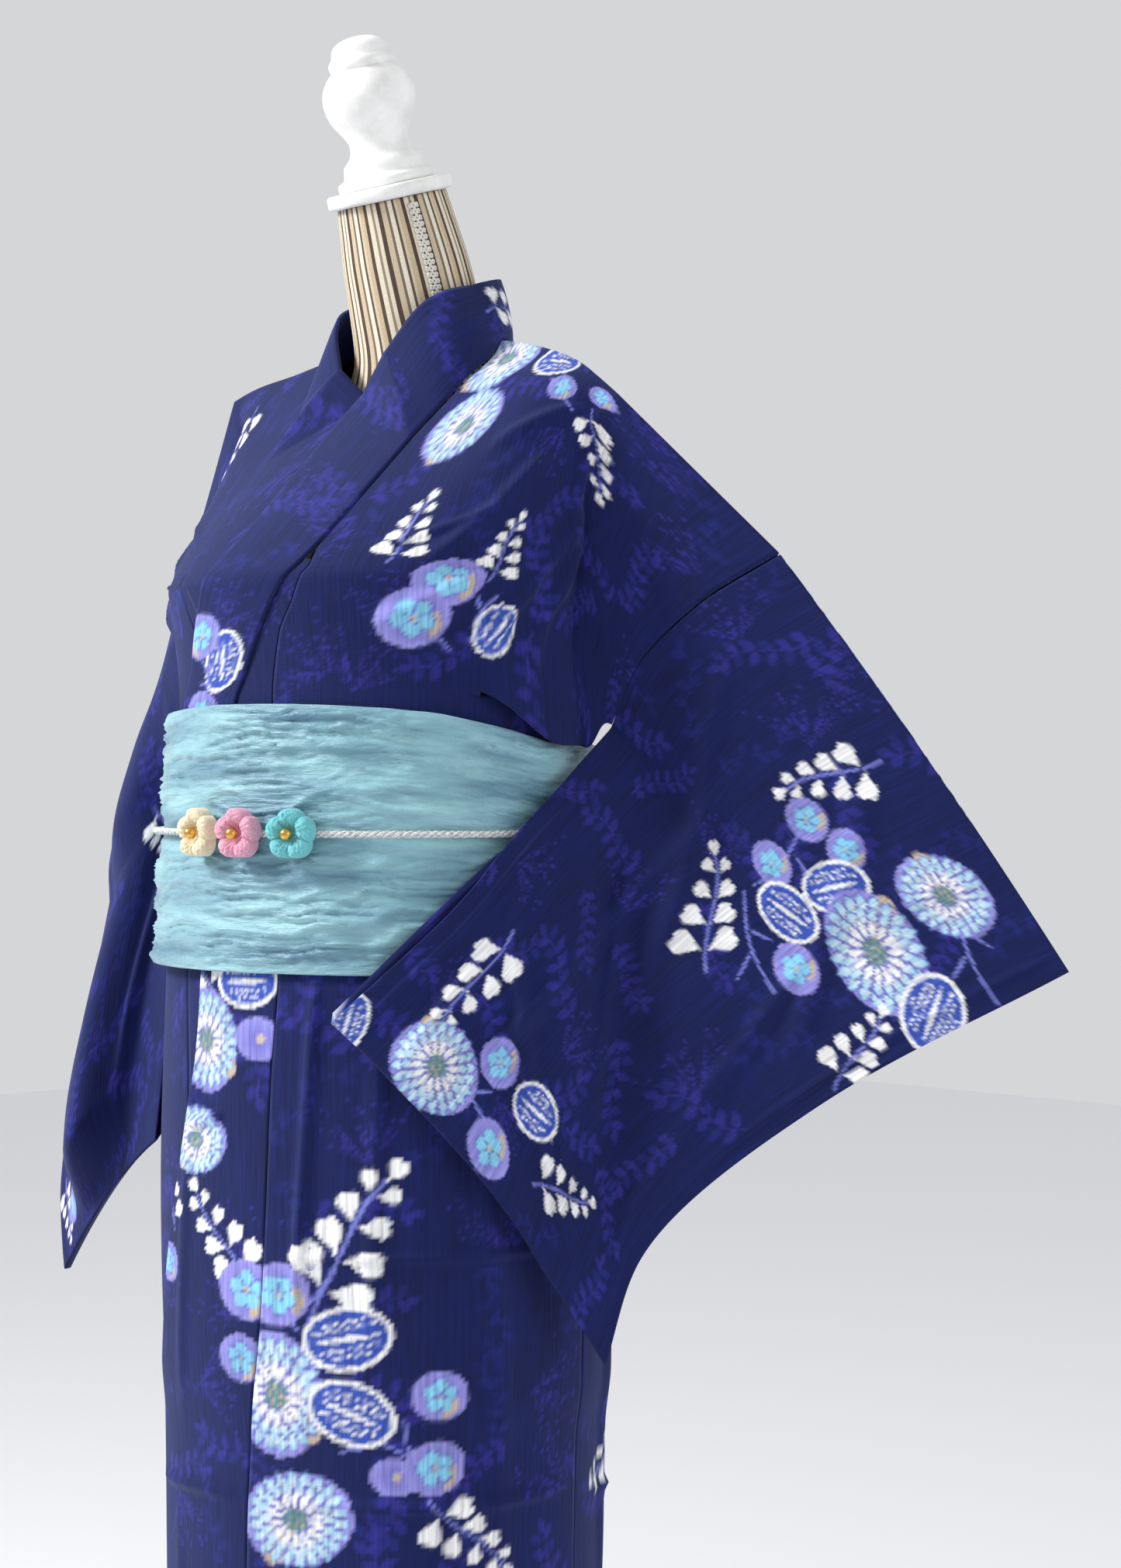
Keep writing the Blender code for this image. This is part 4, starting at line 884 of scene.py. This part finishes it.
right_sleeve_creases = [
    (0.05, 0.06, 0.12, 0.45, 0.0030, 0.009), (0.20, 0.05, 0.25, 0.46, 0.0030, 0.012),
    (0.12, 0.55, 0.16, 0.92, 0.0030, 0.010),
]
shapes = printed(right_sleeve_print, 22, ((0, 0.34), (0, 0.99)), [(0.20, 1.30, 60, 1.0)])
right_sleeve = cloth("robe_sleeve_right", *sleeve_lattice(0.0110, 0.016),
                     sleeve_place(-1, right_sleeve_creases, 0.0010, 7), shapes, tube_like=True)


# Collar: a folded band that lies on the chest and stands up round the neck
COLLAR_LAP = ((0.25, 0.140, -0.008), (0.33, 0.22, -0.006), (0.42, 0.31, -0.001), (0.53, 0.42, 0.000),
              (0.60, 0.50, -0.006), (0.69, 0.62, -0.025), (0.78, 0.74, -0.058), (0.87, 0.85, -0.100),
              (0.94, 0.93, -0.130), (1.00, 1.00, -0.170), (1.12, 1.12, -0.190))
COLLAR_NECK = ((0.0, 0.057, 0.038, 1.474), (0.06, 0.055, 0.011, 1.463), (0.12, 0.044, -0.005, 1.446),
               (0.18, 0.026, -0.0165, 1.418))
COLLAR_BACK = ((0.0, 0.057, 0.038, 1.474), (0.09, 0.053, 0.056, 1.479), (0.16, 0.043, 0.070, 1.482),
               (0.21, 0.027, 0.080, 1.484), (0.242, 0.0, 0.086, 1.485))


def collar_sections(sign, parts):
    """Sections of one half of the band, from its lap end up to the nape."""
    out = []
    for row in np.linspace(1.12, 0.25, 60):
        q = float(seam(COLLAR_SEAM, row)) - 0.0014
        free_row, free_q = from_table(COLLAR_LAP, np.array([row]))[0]
        here = q + (free_q - q) * parts
        rows = row + (free_row - row) * parts
        lift = (lift_of_left(here, rows) if sign > 0 else 0.0) + 0.00075
        normal = drape_normal(sign * here, rows, False)
        out.append(drape(sign * here, rows, False) + normal * np.reshape(lift, (-1, 1)))
    seams, frees = [], []
    for row in np.linspace(0.24, 0.0, 20):
        q = np.array([float(seam(COLLAR_SEAM, row))])
        lift = float(lift_of_left(q, row)[0]) if sign > 0 else 0.0
        place = drape(sign * q, row, False) + drape_normal(sign * q, row, False) * lift
        free = from_table(COLLAR_NECK, np.array([row]))[0] * [sign, 1, 1]
        if sign > 0:
            free = free + drape_normal(np.array([0.02]), 0.16, False)[0] * lift
        seams.append(place[0])
        frees.append(free)
    for row in np.linspace(0.0, NAPE_ROW, 22)[1:]:
        q = np.array([NECK_Q * np.sqrt(max(0.0, 1 - (row / NAPE_ROW) ** 2))])
        seams.append(drape(sign * q, row, True)[0])
        frees.append(from_table(COLLAR_BACK, np.array([row]))[0] * [sign, 1, 1])
    for start, free in zip(seams, frees):
        along = (free - start) / np.linalg.norm(free - start)
        begin = start + along * 0.0016
        out_way = np.array([start[0], start[1] - 0.045, 0.0])
        out_way /= np.linalg.norm(out_way) + 1e-9
        bulge = 0.012 * parts * (1 - parts)
        out.append(begin + (free - begin) * parts[:, None] + out_way * bulge[:, None])
    return out


parts = np.linspace(0, 1, 21)
half = collar_sections(1, parts)
other = collar_sections(-1, parts)
band = np.array(half + other[::-1][1:])
steps = np.linalg.norm(np.diff(band[:, 10], axis=0), axis=1)
station = np.concatenate([[0], np.cumsum(steps)])
collar_length = float(station[-1])
COLLAR_WIDTH = 0.062


def collar_place(flat):
    s = np.interp(flat[:, 1], station, np.arange(len(station)))
    p = np.clip(flat[:, 0] / COLLAR_WIDTH, 0, 1) * 20
    i = np.clip(s.astype(int), 0, len(band) - 2)
    j = np.clip(p.astype(int), 0, 19)
    a, b = (s - i)[:, None], (p - j)[:, None]
    return ((band[i, j] * (1 - b) + band[i, j + 1] * b) * (1 - a)
            + (band[i + 1, j] * (1 - b) + band[i + 1, j + 1] * b) * a)


v = fours((0.0, collar_length), (0.0088,))
u = np.linspace(0, COLLAR_WIDTH, 4 * 6 + 1)
collar_print = [
    ("kanoko", 0.024, 0.150, 0.023, 80), ("plum", 0.052, 0.168, 0.017, 0),
    ("plum", 0.034, 0.108, 0.018, 30), ("branch", 0.040, 0.135, 0.022, 60),
    ("spray", 0.034, 0.520, 0.032, 80), ("spray", 0.020, 1.060, 0.032, 90),
]
shapes = printed(collar_print, 31, ((-0.01, 0.07), (0, collar_length)), tonal=0.045)
collar = cloth("robe_collar", *full_lattice(u, v), collar_place, shapes, thickness=0.0026)


# Sash: crinkled satin, its creases mostly level, in a band 17 cm high
satin, nodes, links, bsdf = shader("crinkled_satin", 0.42)
uv = coordinates(nodes, "cloth")
cloud = stretched_noise(nodes, links, uv, (9, 60, 1), 4)
two_tones(nodes, links, bsdf, cloud, rgb(78, 124, 146), rgb(150, 198, 206), 0.30, 0.72)
fine = stretched_noise(nodes, links, uv, (90, 420, 1), 4)
thread = stretched_noise(nodes, links, uv, (1400, 1400, 1), 1)
bump(nodes, links, bsdf, (fine, thread), (0.0016, 0.0002))
bsdf.inputs["Sheen Weight"].default_value = 0.25
bsdf.inputs["Specular IOR Level"].default_value = 0.45
SASH_ANGLE = (-180, -120, -60, -34, 0, 8, 24, 52, 75, 95, 130, 180)
SASH_TOP = (1.162, 1.168, 1.174, 1.178, 1.182, 1.182, 1.181, 1.176, 1.165, 1.156, 1.156, 1.162)
SASH_OUT = (0.0028, 0.0028, 0.0030, 0.0085, 0.0085, 0.0085, 0.0074, 0.0070, 0.0048, 0.0030, 0.0028, 0.0028)
ROUND = 0.95
SASH_HIGH = 0.172
SASH_FOOT_Z = 1.008
CORD_Z = 1.098
CORD_RADIUS = 0.0025
CORD_SEAT = 0.0030


def value_noise(x, y, seed, period=None):
    """Smooth random heights on a unit lattice, repeating after period cells along x."""
    rng = np.random.default_rng(seed)
    table = rng.uniform(-1, 1, (256, 256))
    xi, yi = np.floor(x).astype(int), np.floor(y).astype(int)
    fx, fy = ease(x - xi), ease(y - yi)
    x0, x1 = (xi % period, (xi + 1) % period) if period else (xi % 256, (xi + 1) % 256)
    y0, y1 = yi % 256, (yi + 1) % 256
    return ((table[x0, y0] * (1 - fx) + table[x1, y0] * fx) * (1 - fy)
            + (table[x0, y1] * (1 - fx) + table[x1, y1] * fx) * fy)


def crinkle(u, v):
    """Sharp level creases that drift, split and run into each other."""
    drift = 0.006 * value_noise(u * 18, v * 30, 5, 17) + 0.003 * value_noise(u * 60, v * 60, 6, 57)
    a = value_noise(u * 16, (v + drift) * 170, 7, 15)
    b = value_noise(u * 40, (v - drift) * 300, 8, 38)
    c = value_noise(u * 95, (v + drift) * 200, 9, 90)
    return 0.0034 * (1 - np.abs(a)) ** 4 + 0.0016 * (1 - np.abs(b)) ** 3 + 0.0003 * c - 0.0008


def sash_place(flat):
    angle = flat[:, 0] / ROUND * 360 - 180
    top = curve(angle, SASH_ANGLE, SASH_TOP)
    part = -flat[:, 1] / SASH_HIGH
    z = top + (SASH_FOOT_Z - top) * part
    fold = 0.0008 * (1 + np.sin(2.5 * 2 * np.pi * part + 2 * np.sin(np.radians(angle * 2))))
    height = crinkle(flat[:, 0], flat[:, 1]) * ease(part / 0.03) * ease((1 - part) / 0.03)
    near_cord = np.exp(-((z - CORD_Z) / 0.009) ** 2)
    ends = np.minimum(flat[:, 0], ROUND - flat[:, 0])
    height = height * ease(ends / 0.01)
    height = height * (1 - 0.9 * near_cord)
    return ring_point(angle, z, curve(angle, SASH_ANGLE, SASH_OUT) + fold + height - 0.0012 * near_cord)


u = fours((0.0, ROUND), (0.0105,))
v = fours((0.0, -SASH_HIGH), (0.0056,))
obi = cloth("sash_band", *full_lattice(u, v), sash_place, [], thickness=0.0018, mat=satin, base="teal")


KNOT_HALF = (0.0535, 0.0225)
KNOT_CROWN = 0.0092


def knot_place(flat):
    angle = 180 + flat[:, 0] / ROUND * 360
    z = 1.133 + flat[:, 1]
    rounding = np.sqrt(np.clip(1 - (flat / KNOT_HALF) ** 6, 0, 1)).prod(1)
    height = crinkle(flat[:, 0] + 0.3, flat[:, 1] * 0.8) * 0.7
    return ring_point(angle, z, 0.0062 + (KNOT_CROWN + height) * rounding)


u = fours((-0.053, 0.053), (0.0100,))
v = fours((-0.022, 0.022), (0.0070,))
knot = cloth("sash_end", *full_lattice(u, v), knot_place, [], thickness=0.0014, mat=satin, base="teal")


# Simple mesh maker for the trims
def solid(name, verts, faces, mat, smooth=True):
    mesh = bpy.data.meshes.new(name)
    mesh.from_pydata(np.asarray(verts, float).tolist(), [], [list(map(int, f)) for f in faces])
    mesh.validate()
    if smooth:
        mesh.shade_smooth()
    mesh.materials.append(mat)
    obj = bpy.data.objects.new(name, mesh)
    bpy.context.scene.collection.objects.link(obj)
    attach(obj, "root")
    return obj


def tube(path, radius, sides=7):
    """Closed ring of a round tube along a closed path; radius may vary along it."""
    path = np.asarray(path, float)
    ahead = np.roll(path, -1, 0) - np.roll(path, 1, 0)
    ahead /= np.linalg.norm(ahead, axis=1, keepdims=True)
    up = np.tile([0.0, 0.0, 1.0], (len(path), 1))
    side = np.cross(ahead, up)
    side /= np.linalg.norm(side, axis=1, keepdims=True)
    up = np.cross(side, ahead)
    turn = np.linspace(0, 2 * np.pi, sides, endpoint=False)
    ring = side[:, None] * np.cos(turn)[None, :, None] + up[:, None] * np.sin(turn)[None, :, None]
    verts = path[:, None] + ring * np.reshape(radius, (-1, 1, 1))
    n = len(path)
    faces = [(i * sides + j, i * sides + (j + 1) % sides, (i + 1) % n * sides + (j + 1) % sides,
              (i + 1) % n * sides + j) for i in range(n) for j in range(sides)]
    return verts.reshape(-1, 3), faces


# Cord: three thick strands laid round each other, pale grey and white
braid, nodes, links, bsdf = shader("braided_cord", 0.75)
at = coordinates(nodes)
grain = stretched_noise(nodes, links, at, (500, 500, 2200), 3)
two_tones(nodes, links, bsdf, grain, rgb(150, 158, 164), rgb(232, 232, 228), 0.35, 0.60)
bump(nodes, links, bsdf, (grain,), (0.0004,))


def cord_out(angle):
    return curve(angle, SASH_ANGLE, SASH_OUT) + CORD_SEAT + CORD_RADIUS


LAYS = 62
STRAND_OFF = 0.00125
STRAND_RADIUS = 0.00128
angle = np.linspace(-180, 180, 1441)[:-1]
verts, faces = [], []
for strand in range(3):
    turn = np.radians(angle) * LAYS + strand * 2 * np.pi / 3
    outward = STRAND_OFF * np.cos(turn)
    path = ring_point(angle, np.full_like(angle, CORD_Z), cord_out(angle) + outward)
    path[:, 2] += STRAND_OFF * np.sin(turn)
    tube_verts, tube_faces = tube(path, STRAND_RADIUS * np.ones(len(path)), 6)
    faces += [tuple(i + len(verts) * len(tube_verts) for i in f) for f in tube_faces]
    verts.append(tube_verts)
cord = solid("sash_cord", np.vstack(verts), faces, braid)


# Flowers: puffed crepe petals gathered to a gold bead
def crepe(name, colour, shade):
    mat, nodes, links, bsdf = shader(name, 0.85)
    at = coordinates(nodes)
    grain = stretched_noise(nodes, links, at, (900, 900, 900), 3)
    two_tones(nodes, links, bsdf, grain, shade, colour, 0.30, 0.62)
    bump(nodes, links, bsdf, (grain,), (0.0007,))
    bsdf.inputs["Sheen Weight"].default_value = 0.2
    return mat


gold, nodes, links, bsdf = shader("gold_bead", 0.25, rgb(214, 168, 84), 1.0)
at = coordinates(nodes)
grain = stretched_noise(nodes, links, at, (700, 700, 700), 2)
links.new(remap(nodes, links, grain, 0.18, 0.40), bsdf.inputs["Roughness"])
bump(nodes, links, bsdf, (grain,), (0.0001,))
CREPES = {
    "cream": (-3.4, crepe("cream_crepe", rgb(240, 228, 196), rgb(214, 196, 160))),
    "pink": (9.2, crepe("pink_crepe", rgb(232, 170, 190), rgb(206, 132, 160))),
    "turquoise": (22.6, crepe("turquoise_crepe", rgb(120, 204, 208), rgb(80, 168, 180))),
}
PETAL_REACH = 0.0165
PETAL_HIGH = 0.0115
BEAD_RADIUS = 0.004
BEAD_SEAT = 0.0069
flowers, beads = {}, {}
for colour, (where, mat) in CREPES.items():
    out = float(cord_out(np.array([where]))[0]) + CORD_RADIUS + 0.0005
    seat = ring_point(np.array([where]), np.array([CORD_Z]), out)[0]
    ahead = ring_point(np.array([where + 1.0]), np.array([CORD_Z]), out)[0]
    side = (ahead - seat) / np.linalg.norm(ahead - seat)
    up = np.array([0.0, 0.0, 1.0])
    outward = np.cross(side, up)
    rings, steps = 26, 150
    u = np.linspace(0, 1, rings + 1)[:, None]
    t = np.linspace(0, 2 * np.pi, steps, endpoint=False)[None]
    lobe = np.abs(np.cos(2.5 * (t - np.pi / 2)))
    reach = PETAL_REACH * (0.84 + 0.16 * lobe ** 0.6) * np.sin(np.pi / 2 * np.minimum(u * 1.12, 1)) ** 0.9
    puff = np.sin(np.pi * u ** 0.85) ** 0.6
    height = PETAL_HIGH * (0.30 + 0.70 * puff) * (0.62 + 0.38 * lobe ** 0.45)
    height = height * (1 - ease((u - 0.80) / 0.20)) + 0.0008 * (1 - u)
    pucker = 0.0005 * np.sin(t * 45 + 6 * np.sin(t * 5)) * puff * (1 - 0.5 * u)
    height = np.maximum(height + pucker + 0.0003 * np.sin(t * 17 + u * 30) * puff, 0.0001)
    height = height * (0.4 + 0.6 * ease(u / 0.35))
    verts = (seat + side * (reach * np.cos(t))[..., None] + up * (reach * np.sin(t))[..., None]
             + outward * height[..., None])
    verts[0] = verts[0].mean(0)
    underside = reach[-1] * 0.9
    rim = seat + side * (underside * np.cos(t[0]))[:, None] + up * (underside * np.sin(t[0]))[:, None]
    verts = np.vstack([verts[0, :1], verts[1:].reshape(-1, 3), rim, seat[None]])
    faces = [(0, 1 + s, 1 + (s + 1) % steps) for s in range(steps)]
    for r in range(rings):
        for s in range(steps):
            a = 1 + r * steps + s
            b = 1 + r * steps + (s + 1) % steps
            faces.append((a, a + steps, b + steps, b))
    last = 1 + rings * steps
    faces += [(last + s, last + steps, last + (s + 1) % steps) for s in range(steps)]
    flowers[colour] = solid("flower_puff_" + colour, verts, faces, mat)
    ball = seat + outward * (BEAD_SEAT + BEAD_RADIUS)
    bpy.ops.mesh.primitive_uv_sphere_add(segments=32, ring_count=20, radius=BEAD_RADIUS, location=tuple(ball))
    bead = bpy.context.object
    bead.name = "flower_bead_" + colour
    bpy.ops.object.transform_apply(location=True, rotation=True, scale=True)
    bead.data.materials.append(gold)
    bead.data.shade_smooth()
    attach(bead, "root")
    beads[colour] = bead


# Dress form: the covered torso, striped up and down, with a woven braid on the neck's side seam
cover, nodes, links, bsdf = shader("striped_cover", 0.9)
uv = coordinates(nodes, "cloth")
split = nodes.new("ShaderNodeSeparateXYZ")
links.new(uv, split.inputs[0])
stripe = nodes.new("ShaderNodeMath")
stripe.operation = "MULTIPLY"
stripe.inputs[1].default_value = 9.0
links.new(split.outputs["X"], stripe.inputs[0])
wave = nodes.new("ShaderNodeMath")
wave.operation = "FRACT"
links.new(stripe.outputs[0], wave.inputs[0])
ramp = nodes.new("ShaderNodeValToRGB")
ramp.color_ramp.interpolation = "CONSTANT"
bands = ((0.0, (202, 182, 150)), (0.11, (84, 66, 56)), (0.20, (230, 220, 198)), (0.32, (150, 132, 112)),
         (0.38, (226, 214, 190)), (0.47, (78, 62, 54)), (0.58, (206, 188, 158)), (0.71, (124, 106, 90)),
         (0.77, (232, 224, 204)), (0.88, (96, 78, 66)), (0.94, (216, 200, 172)))
ramp.color_ramp.elements[0].color = (*rgb(*bands[0][1]), 1)
ramp.color_ramp.elements[1].position = bands[1][0]
ramp.color_ramp.elements[1].color = (*rgb(*bands[1][1]), 1)
for place_at, colour in bands[2:]:
    element = ramp.color_ramp.elements.new(place_at)
    element.color = (*rgb(*colour), 1)
links.new(wave.outputs[0], ramp.inputs["Fac"])
weave = stretched_noise(nodes, links, uv, (900, 900, 1), 3)
shade = nodes.new("ShaderNodeVectorMath")
shade.operation = "SCALE"
links.new(ramp.outputs["Color"], shade.inputs[0])
links.new(remap(nodes, links, weave, 0.80, 1.15), shade.inputs["Scale"])
links.new(shade.outputs["Vector"], bsdf.inputs["Base Color"])
bump(nodes, links, bsdf, (weave,), (0.0004,))
FORM = (
    (0.801, 0.110, 0.085, 0, 0), (0.812, 0.130, 0.100, 0, 0), (0.840, 0.142, 0.112, 0, 0),
    (0.900, 0.150, 0.122, 0, 0), (0.990, 0.1627, 0.1364, 0, 0), (1.040, 0.1598, 0.1338, 0, 0),
    (1.100, 0.1562, 0.1302, 0, 0), (1.160, 0.1545, 0.1270, 0, 0), (1.215, 0.150, 0.121, 0.003, 0),
    (1.258, 0.150, 0.117, 0.008, 0), (1.290, 0.147, 0.103, 0.021, 0), (1.324, 0.140, 0.085, 0.035, 0),
    (1.360, 0.122, 0.067, 0.0425, 0), (1.388, 0.094, 0.054, 0.044, 0), (1.408, 0.068, 0.047, 0.042, 1),
    (1.430, 0.053, 0.045, 0.038, 4), (1.460, 0.0480, 0.0440, 0.030, 8), (1.490, 0.0450, 0.0430, 0.0215, 12),
    (1.515, 0.0415, 0.0405, 0.0138, 15), (1.535, 0.0385, 0.0385, 0.0075, 17))


def form_ring(z, turn, out=0.0):
    a, b, shift, tilt = np.moveaxis(from_table(FORM, z), -1, 0)
    a, b = a + out, b + out
    lean = np.radians(tilt)
    deep = b * np.sin(turn)
    return np.stack([a * np.cos(turn), shift + deep * np.cos(lean), z + deep * np.sin(lean)], -1)


levels = np.concatenate([np.linspace(*stretch) for stretch in ((0.801, 0.84, 8), (0.85, 1.36, 40),
                                                                (1.365, 1.535, 60))])
turns = np.linspace(0, 2 * np.pi, 121)
grid = np.array([form_ring(np.full_like(turns, z), turns) for z in levels])
verts = np.vstack([grid.reshape(-1, 3), [[0, 0, 0.7955]], [[0, 0.0075, 1.535]]])
n = len(turns)
faces = [(r * n + s, r * n + s + 1, (r + 1) * n + s + 1, (r + 1) * n + s)
         for r in range(len(levels) - 1) for s in range(n - 1)]
faces += [(s + 1, s, len(verts) - 2) for s in range(n - 1)]
top_row = (len(levels) - 1) * n
faces += [(top_row + s, top_row + s + 1, len(verts) - 1) for s in range(n - 1)]
torso = solid("form_cover", verts, faces, cover)
layer = torso.data.uv_layers.new(name="cloth")
loop_vert = np.zeros(len(torso.data.loops), int)
torso.data.loops.foreach_get("vertex_index", loop_vert)
rows = np.stack(np.meshgrid(turns / (2 * np.pi), levels), -1).reshape(-1, 2)
flat = np.vstack([rows, [[0, 0.8]], [[0, 1.53]]])
layer.data.foreach_set("uv", flat[loop_vert].ravel())

# Gimp braid: a row of small loops up each side seam of the neck, only the wearer's left is in view
gimp, nodes, links, bsdf = shader("gimp_braid", 0.8)
at = coordinates(nodes)
grain = stretched_noise(nodes, links, at, (1500, 1500, 1500), 2)
two_tones(nodes, links, bsdf, grain, rgb(206, 200, 186), rgb(244, 242, 236))
bump(nodes, links, bsdf, (grain,), (0.0003,))
loops = np.linspace(0, 1, 700)
for sign, label in ((1, "left"), (-1, "right")):
    z = 1.418 + 0.113 * loops + 0.0022 * np.sin(loops * 2 * np.pi * 26)
    middle = (0.0 if sign > 0 else np.pi) - sign * 0.42
    sway = 0.075 * np.sin(loops * 2 * np.pi * 13) * sign
    path = np.vstack([form_ring(z, middle + sway, 0.0011), form_ring(z[::-1], (middle - sway)[::-1], 0.0013)])
    tube_verts, tube_faces = tube(path, 0.0008 * np.ones(len(path)), 5)
    solid("form_gimp_" + label, tube_verts, tube_faces, gimp)

# Turned wood in satin white paint: neck plate, finial, pole and base
paint, nodes, links, bsdf = shader("white_paint", 0.32)
at = coordinates(nodes)
brush = stretched_noise(nodes, links, at, (60, 60, 60), 4)
grain = stretched_noise(nodes, links, at, (500, 500, 90), 3)
two_tones(nodes, links, bsdf, brush, rgb(222, 221, 217), rgb(243, 243, 241), 0.30, 0.65)
links.new(remap(nodes, links, brush, 0.26, 0.42), bsdf.inputs["Roughness"])
bump(nodes, links, bsdf, (grain, brush), (0.00008, 0.0003))
tilt = np.radians(17.0)
AXIS = np.array([0, -np.sin(tilt), np.cos(tilt)])
NECK_TOP = np.array([0.0, 0.0075, 1.535])
PLATE = ((0, 0), (0.0405, 0), (0.0430, 0.0006), (0.0440, 0.0020), (0.0440, 0.0078), (0.0434, 0.0092),
         (0.0420, 0.0100), (0, 0.0100))
FINIAL = ((0, 0), (0.0340, 0), (0.0345, 0.0008), (0.0345, 0.0050), (0.0338, 0.0060), (0.0300, 0.0078),
          (0.0290, 0.0095), (0.0286, 0.0130), (0.0278, 0.0165), (0.0250, 0.0195), (0.0225, 0.0220),
          (0.0210, 0.0255), (0.0205, 0.0290), (0.0210, 0.0320), (0.0228, 0.0360), (0.0258, 0.0405),
          (0.0285, 0.0445), (0.0306, 0.0490), (0.0318, 0.0535), (0.0325, 0.0595), (0.0322, 0.0640),
          (0.0312, 0.0680), (0.0294, 0.0720), (0.0268, 0.0757), (0.0240, 0.0785), (0.0222, 0.0802),
          (0.0231, 0.0815), (0.0233, 0.0835), (0.0231, 0.0855), (0.0220, 0.0872), (0.0204, 0.0890),
          (0.0198, 0.0915), (0.0190, 0.0945), (0.0170, 0.0970), (0.0140, 0.0990), (0.0105, 0.1004),
          (0.0070, 0.1012), (0.0035, 0.1017), (0, 0.1018))
BASE = ((0, 0), (0.1440, 0), (0.1480, 0.0012), (0.1500, 0.0045), (0.1500, 0.0195), (0.1492, 0.0220),
        (0.1470, 0.0252), (0.1435, 0.0282), (0.1380, 0.0292), (0.1000, 0.0308), (0.0620, 0.0318),
        (0.0500, 0.0324), (0.0380, 0.0336), (0.0310, 0.0352), (0.0295, 0.0360), (0, 0.0360))
POLE = ((0, 0.0363), (0.0150, 0.0363), (0.0160, 0.0373), (0.0160, 0.30), (0.0160, 0.55), (0.0160, 0.7942),
        (0.0150, 0.7952), (0, 0.7952))


def turned(name, profile, place, axis, steps):
    side = np.array([1.0, 0, 0])
    ahead = np.cross(axis, side)
    turn = np.linspace(0, 2 * np.pi, steps, endpoint=False)
    ring = np.cos(turn)[:, None] * side + np.sin(turn)[:, None] * ahead
    verts = [place + axis * profile[0][1]]
    for radius, height in profile[1:-1]:
        verts += list(place + axis * height + ring * radius)
    verts.append(place + axis * profile[-1][1])
    count = len(profile) - 2
    faces = [(0, 1 + (s + 1) % steps, 1 + s) for s in range(steps)]
    for r in range(count - 1):
        a = 1 + r * steps
        faces += [(a + s, a + (s + 1) % steps, a + steps + (s + 1) % steps, a + steps + s)
                  for s in range(steps)]
    last = 1 + (count - 1) * steps
    faces += [(last + s, last + (s + 1) % steps, len(verts) - 1) for s in range(steps)]
    obj = solid(name, verts, faces, paint)
    obj.data.set_sharp_from_angle(angle=np.radians(50))
    return obj


seat = NECK_TOP + AXIS * 0.0003
plate = turned("form_neck_plate", PLATE, seat, AXIS, 96)
finial = turned("form_finial", FINIAL, seat + AXIS * 0.0103, AXIS, 72)
pole = turned("form_pole", POLE, np.zeros(3), np.array([0, 0, 1.0]), 48)
base = turned("form_base", BASE, np.zeros(3), np.array([0, 0, 1.0]), 128)

# What each piece stands for in the CAD and the finish named for it; each CAD part is hidden
standing = (
    (left_body, "body_left", "navy_cotton"), (right_body, "body_right", "navy_cotton"),
    (left_okumi, "okumi_left", "navy_cotton"), (right_okumi, "okumi_right", "navy_cotton"),
    (left_sleeve, "sleeve_left", "navy_cotton"), (right_sleeve, "sleeve_right", "navy_cotton"),
    (collar, "collar", "navy_cotton"), (obi, "obi", "crinkled_satin"), (knot, "obi_knot", "crinkled_satin"),
    (cord, "obi_cord", "braided_cord"), (torso, "form_torso", "striped_cover"),
    (plate, "neck_plate", "white_paint"), (finial, "finial", "white_paint"),
    (pole, "stand_pole", "white_paint"), (base, "stand_base", "white_paint"),
    (flowers["cream"], "flower_cream", "cream_crepe"), (flowers["pink"], "flower_pink", "pink_crepe"),
    (flowers["turquoise"], "flower_turquoise", "turquoise_crepe"),
    (beads["cream"], "bead_cream", "gold_bead"), (beads["pink"], "bead_pink", "gold_bead"),
    (beads["turquoise"], "bead_turquoise", "gold_bead"),
)
for obj, node, slot_name in standing:
    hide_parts(node)

# Room: pale floor and pale background, a broad soft light from the left, a fill from the right
bpy.ops.mesh.primitive_plane_add(size=14, location=(0, 0, 0))
floor = bpy.context.object
floor.name = "floor"
floor_mat, nodes, links, bsdf = shader("floor", 0.9, rgb(244, 244, 246))
floor.data.materials.append(floor_mat)
world = bpy.data.worlds.new("world")
bpy.context.scene.world = world
world.use_nodes = True
world.node_tree.nodes["Background"].inputs["Color"].default_value = (0.95, 0.96, 0.98, 1)
world.node_tree.nodes["Background"].inputs["Strength"].default_value = 0.70


def lamp(name, place, aim, size, power, colour=(1, 1, 1)):
    data = bpy.data.lights.new(name, "AREA")
    data.size = size
    data.energy = power
    data.color = colour
    obj = bpy.data.objects.new(name, data)
    obj.location = place
    direction = Vector(np.array(aim) - np.array(place))
    obj.rotation_euler = direction.to_track_quat("-Z", "Y").to_euler()
    bpy.context.scene.collection.objects.link(obj)
    return obj


lamp("key", (-1.5, -2.0, 2.9), (0, 0, 1.15), 0.9, 115)
lamp("fill", (2.6, 0.2, 1.6), (0, 0, 1.1), 1.6, 16, (0.92, 0.95, 1.0))

camera_data = bpy.data.cameras.new("camera")
camera_data.lens = 62.92
camera_data.sensor_width = 36.0
camera_data.sensor_fit = "AUTO"
camera = bpy.data.objects.new("camera", camera_data)
camera.location = (1.412, -1.271, 1.13)
camera.rotation_euler = (np.radians(90), 0, np.radians(44.317))
bpy.context.scene.collection.objects.link(camera)
bpy.context.scene.camera = camera
scene = bpy.context.scene
scene.render.resolution_x = 1445
scene.render.resolution_y = 2022
scene.view_settings.view_transform = "Standard"
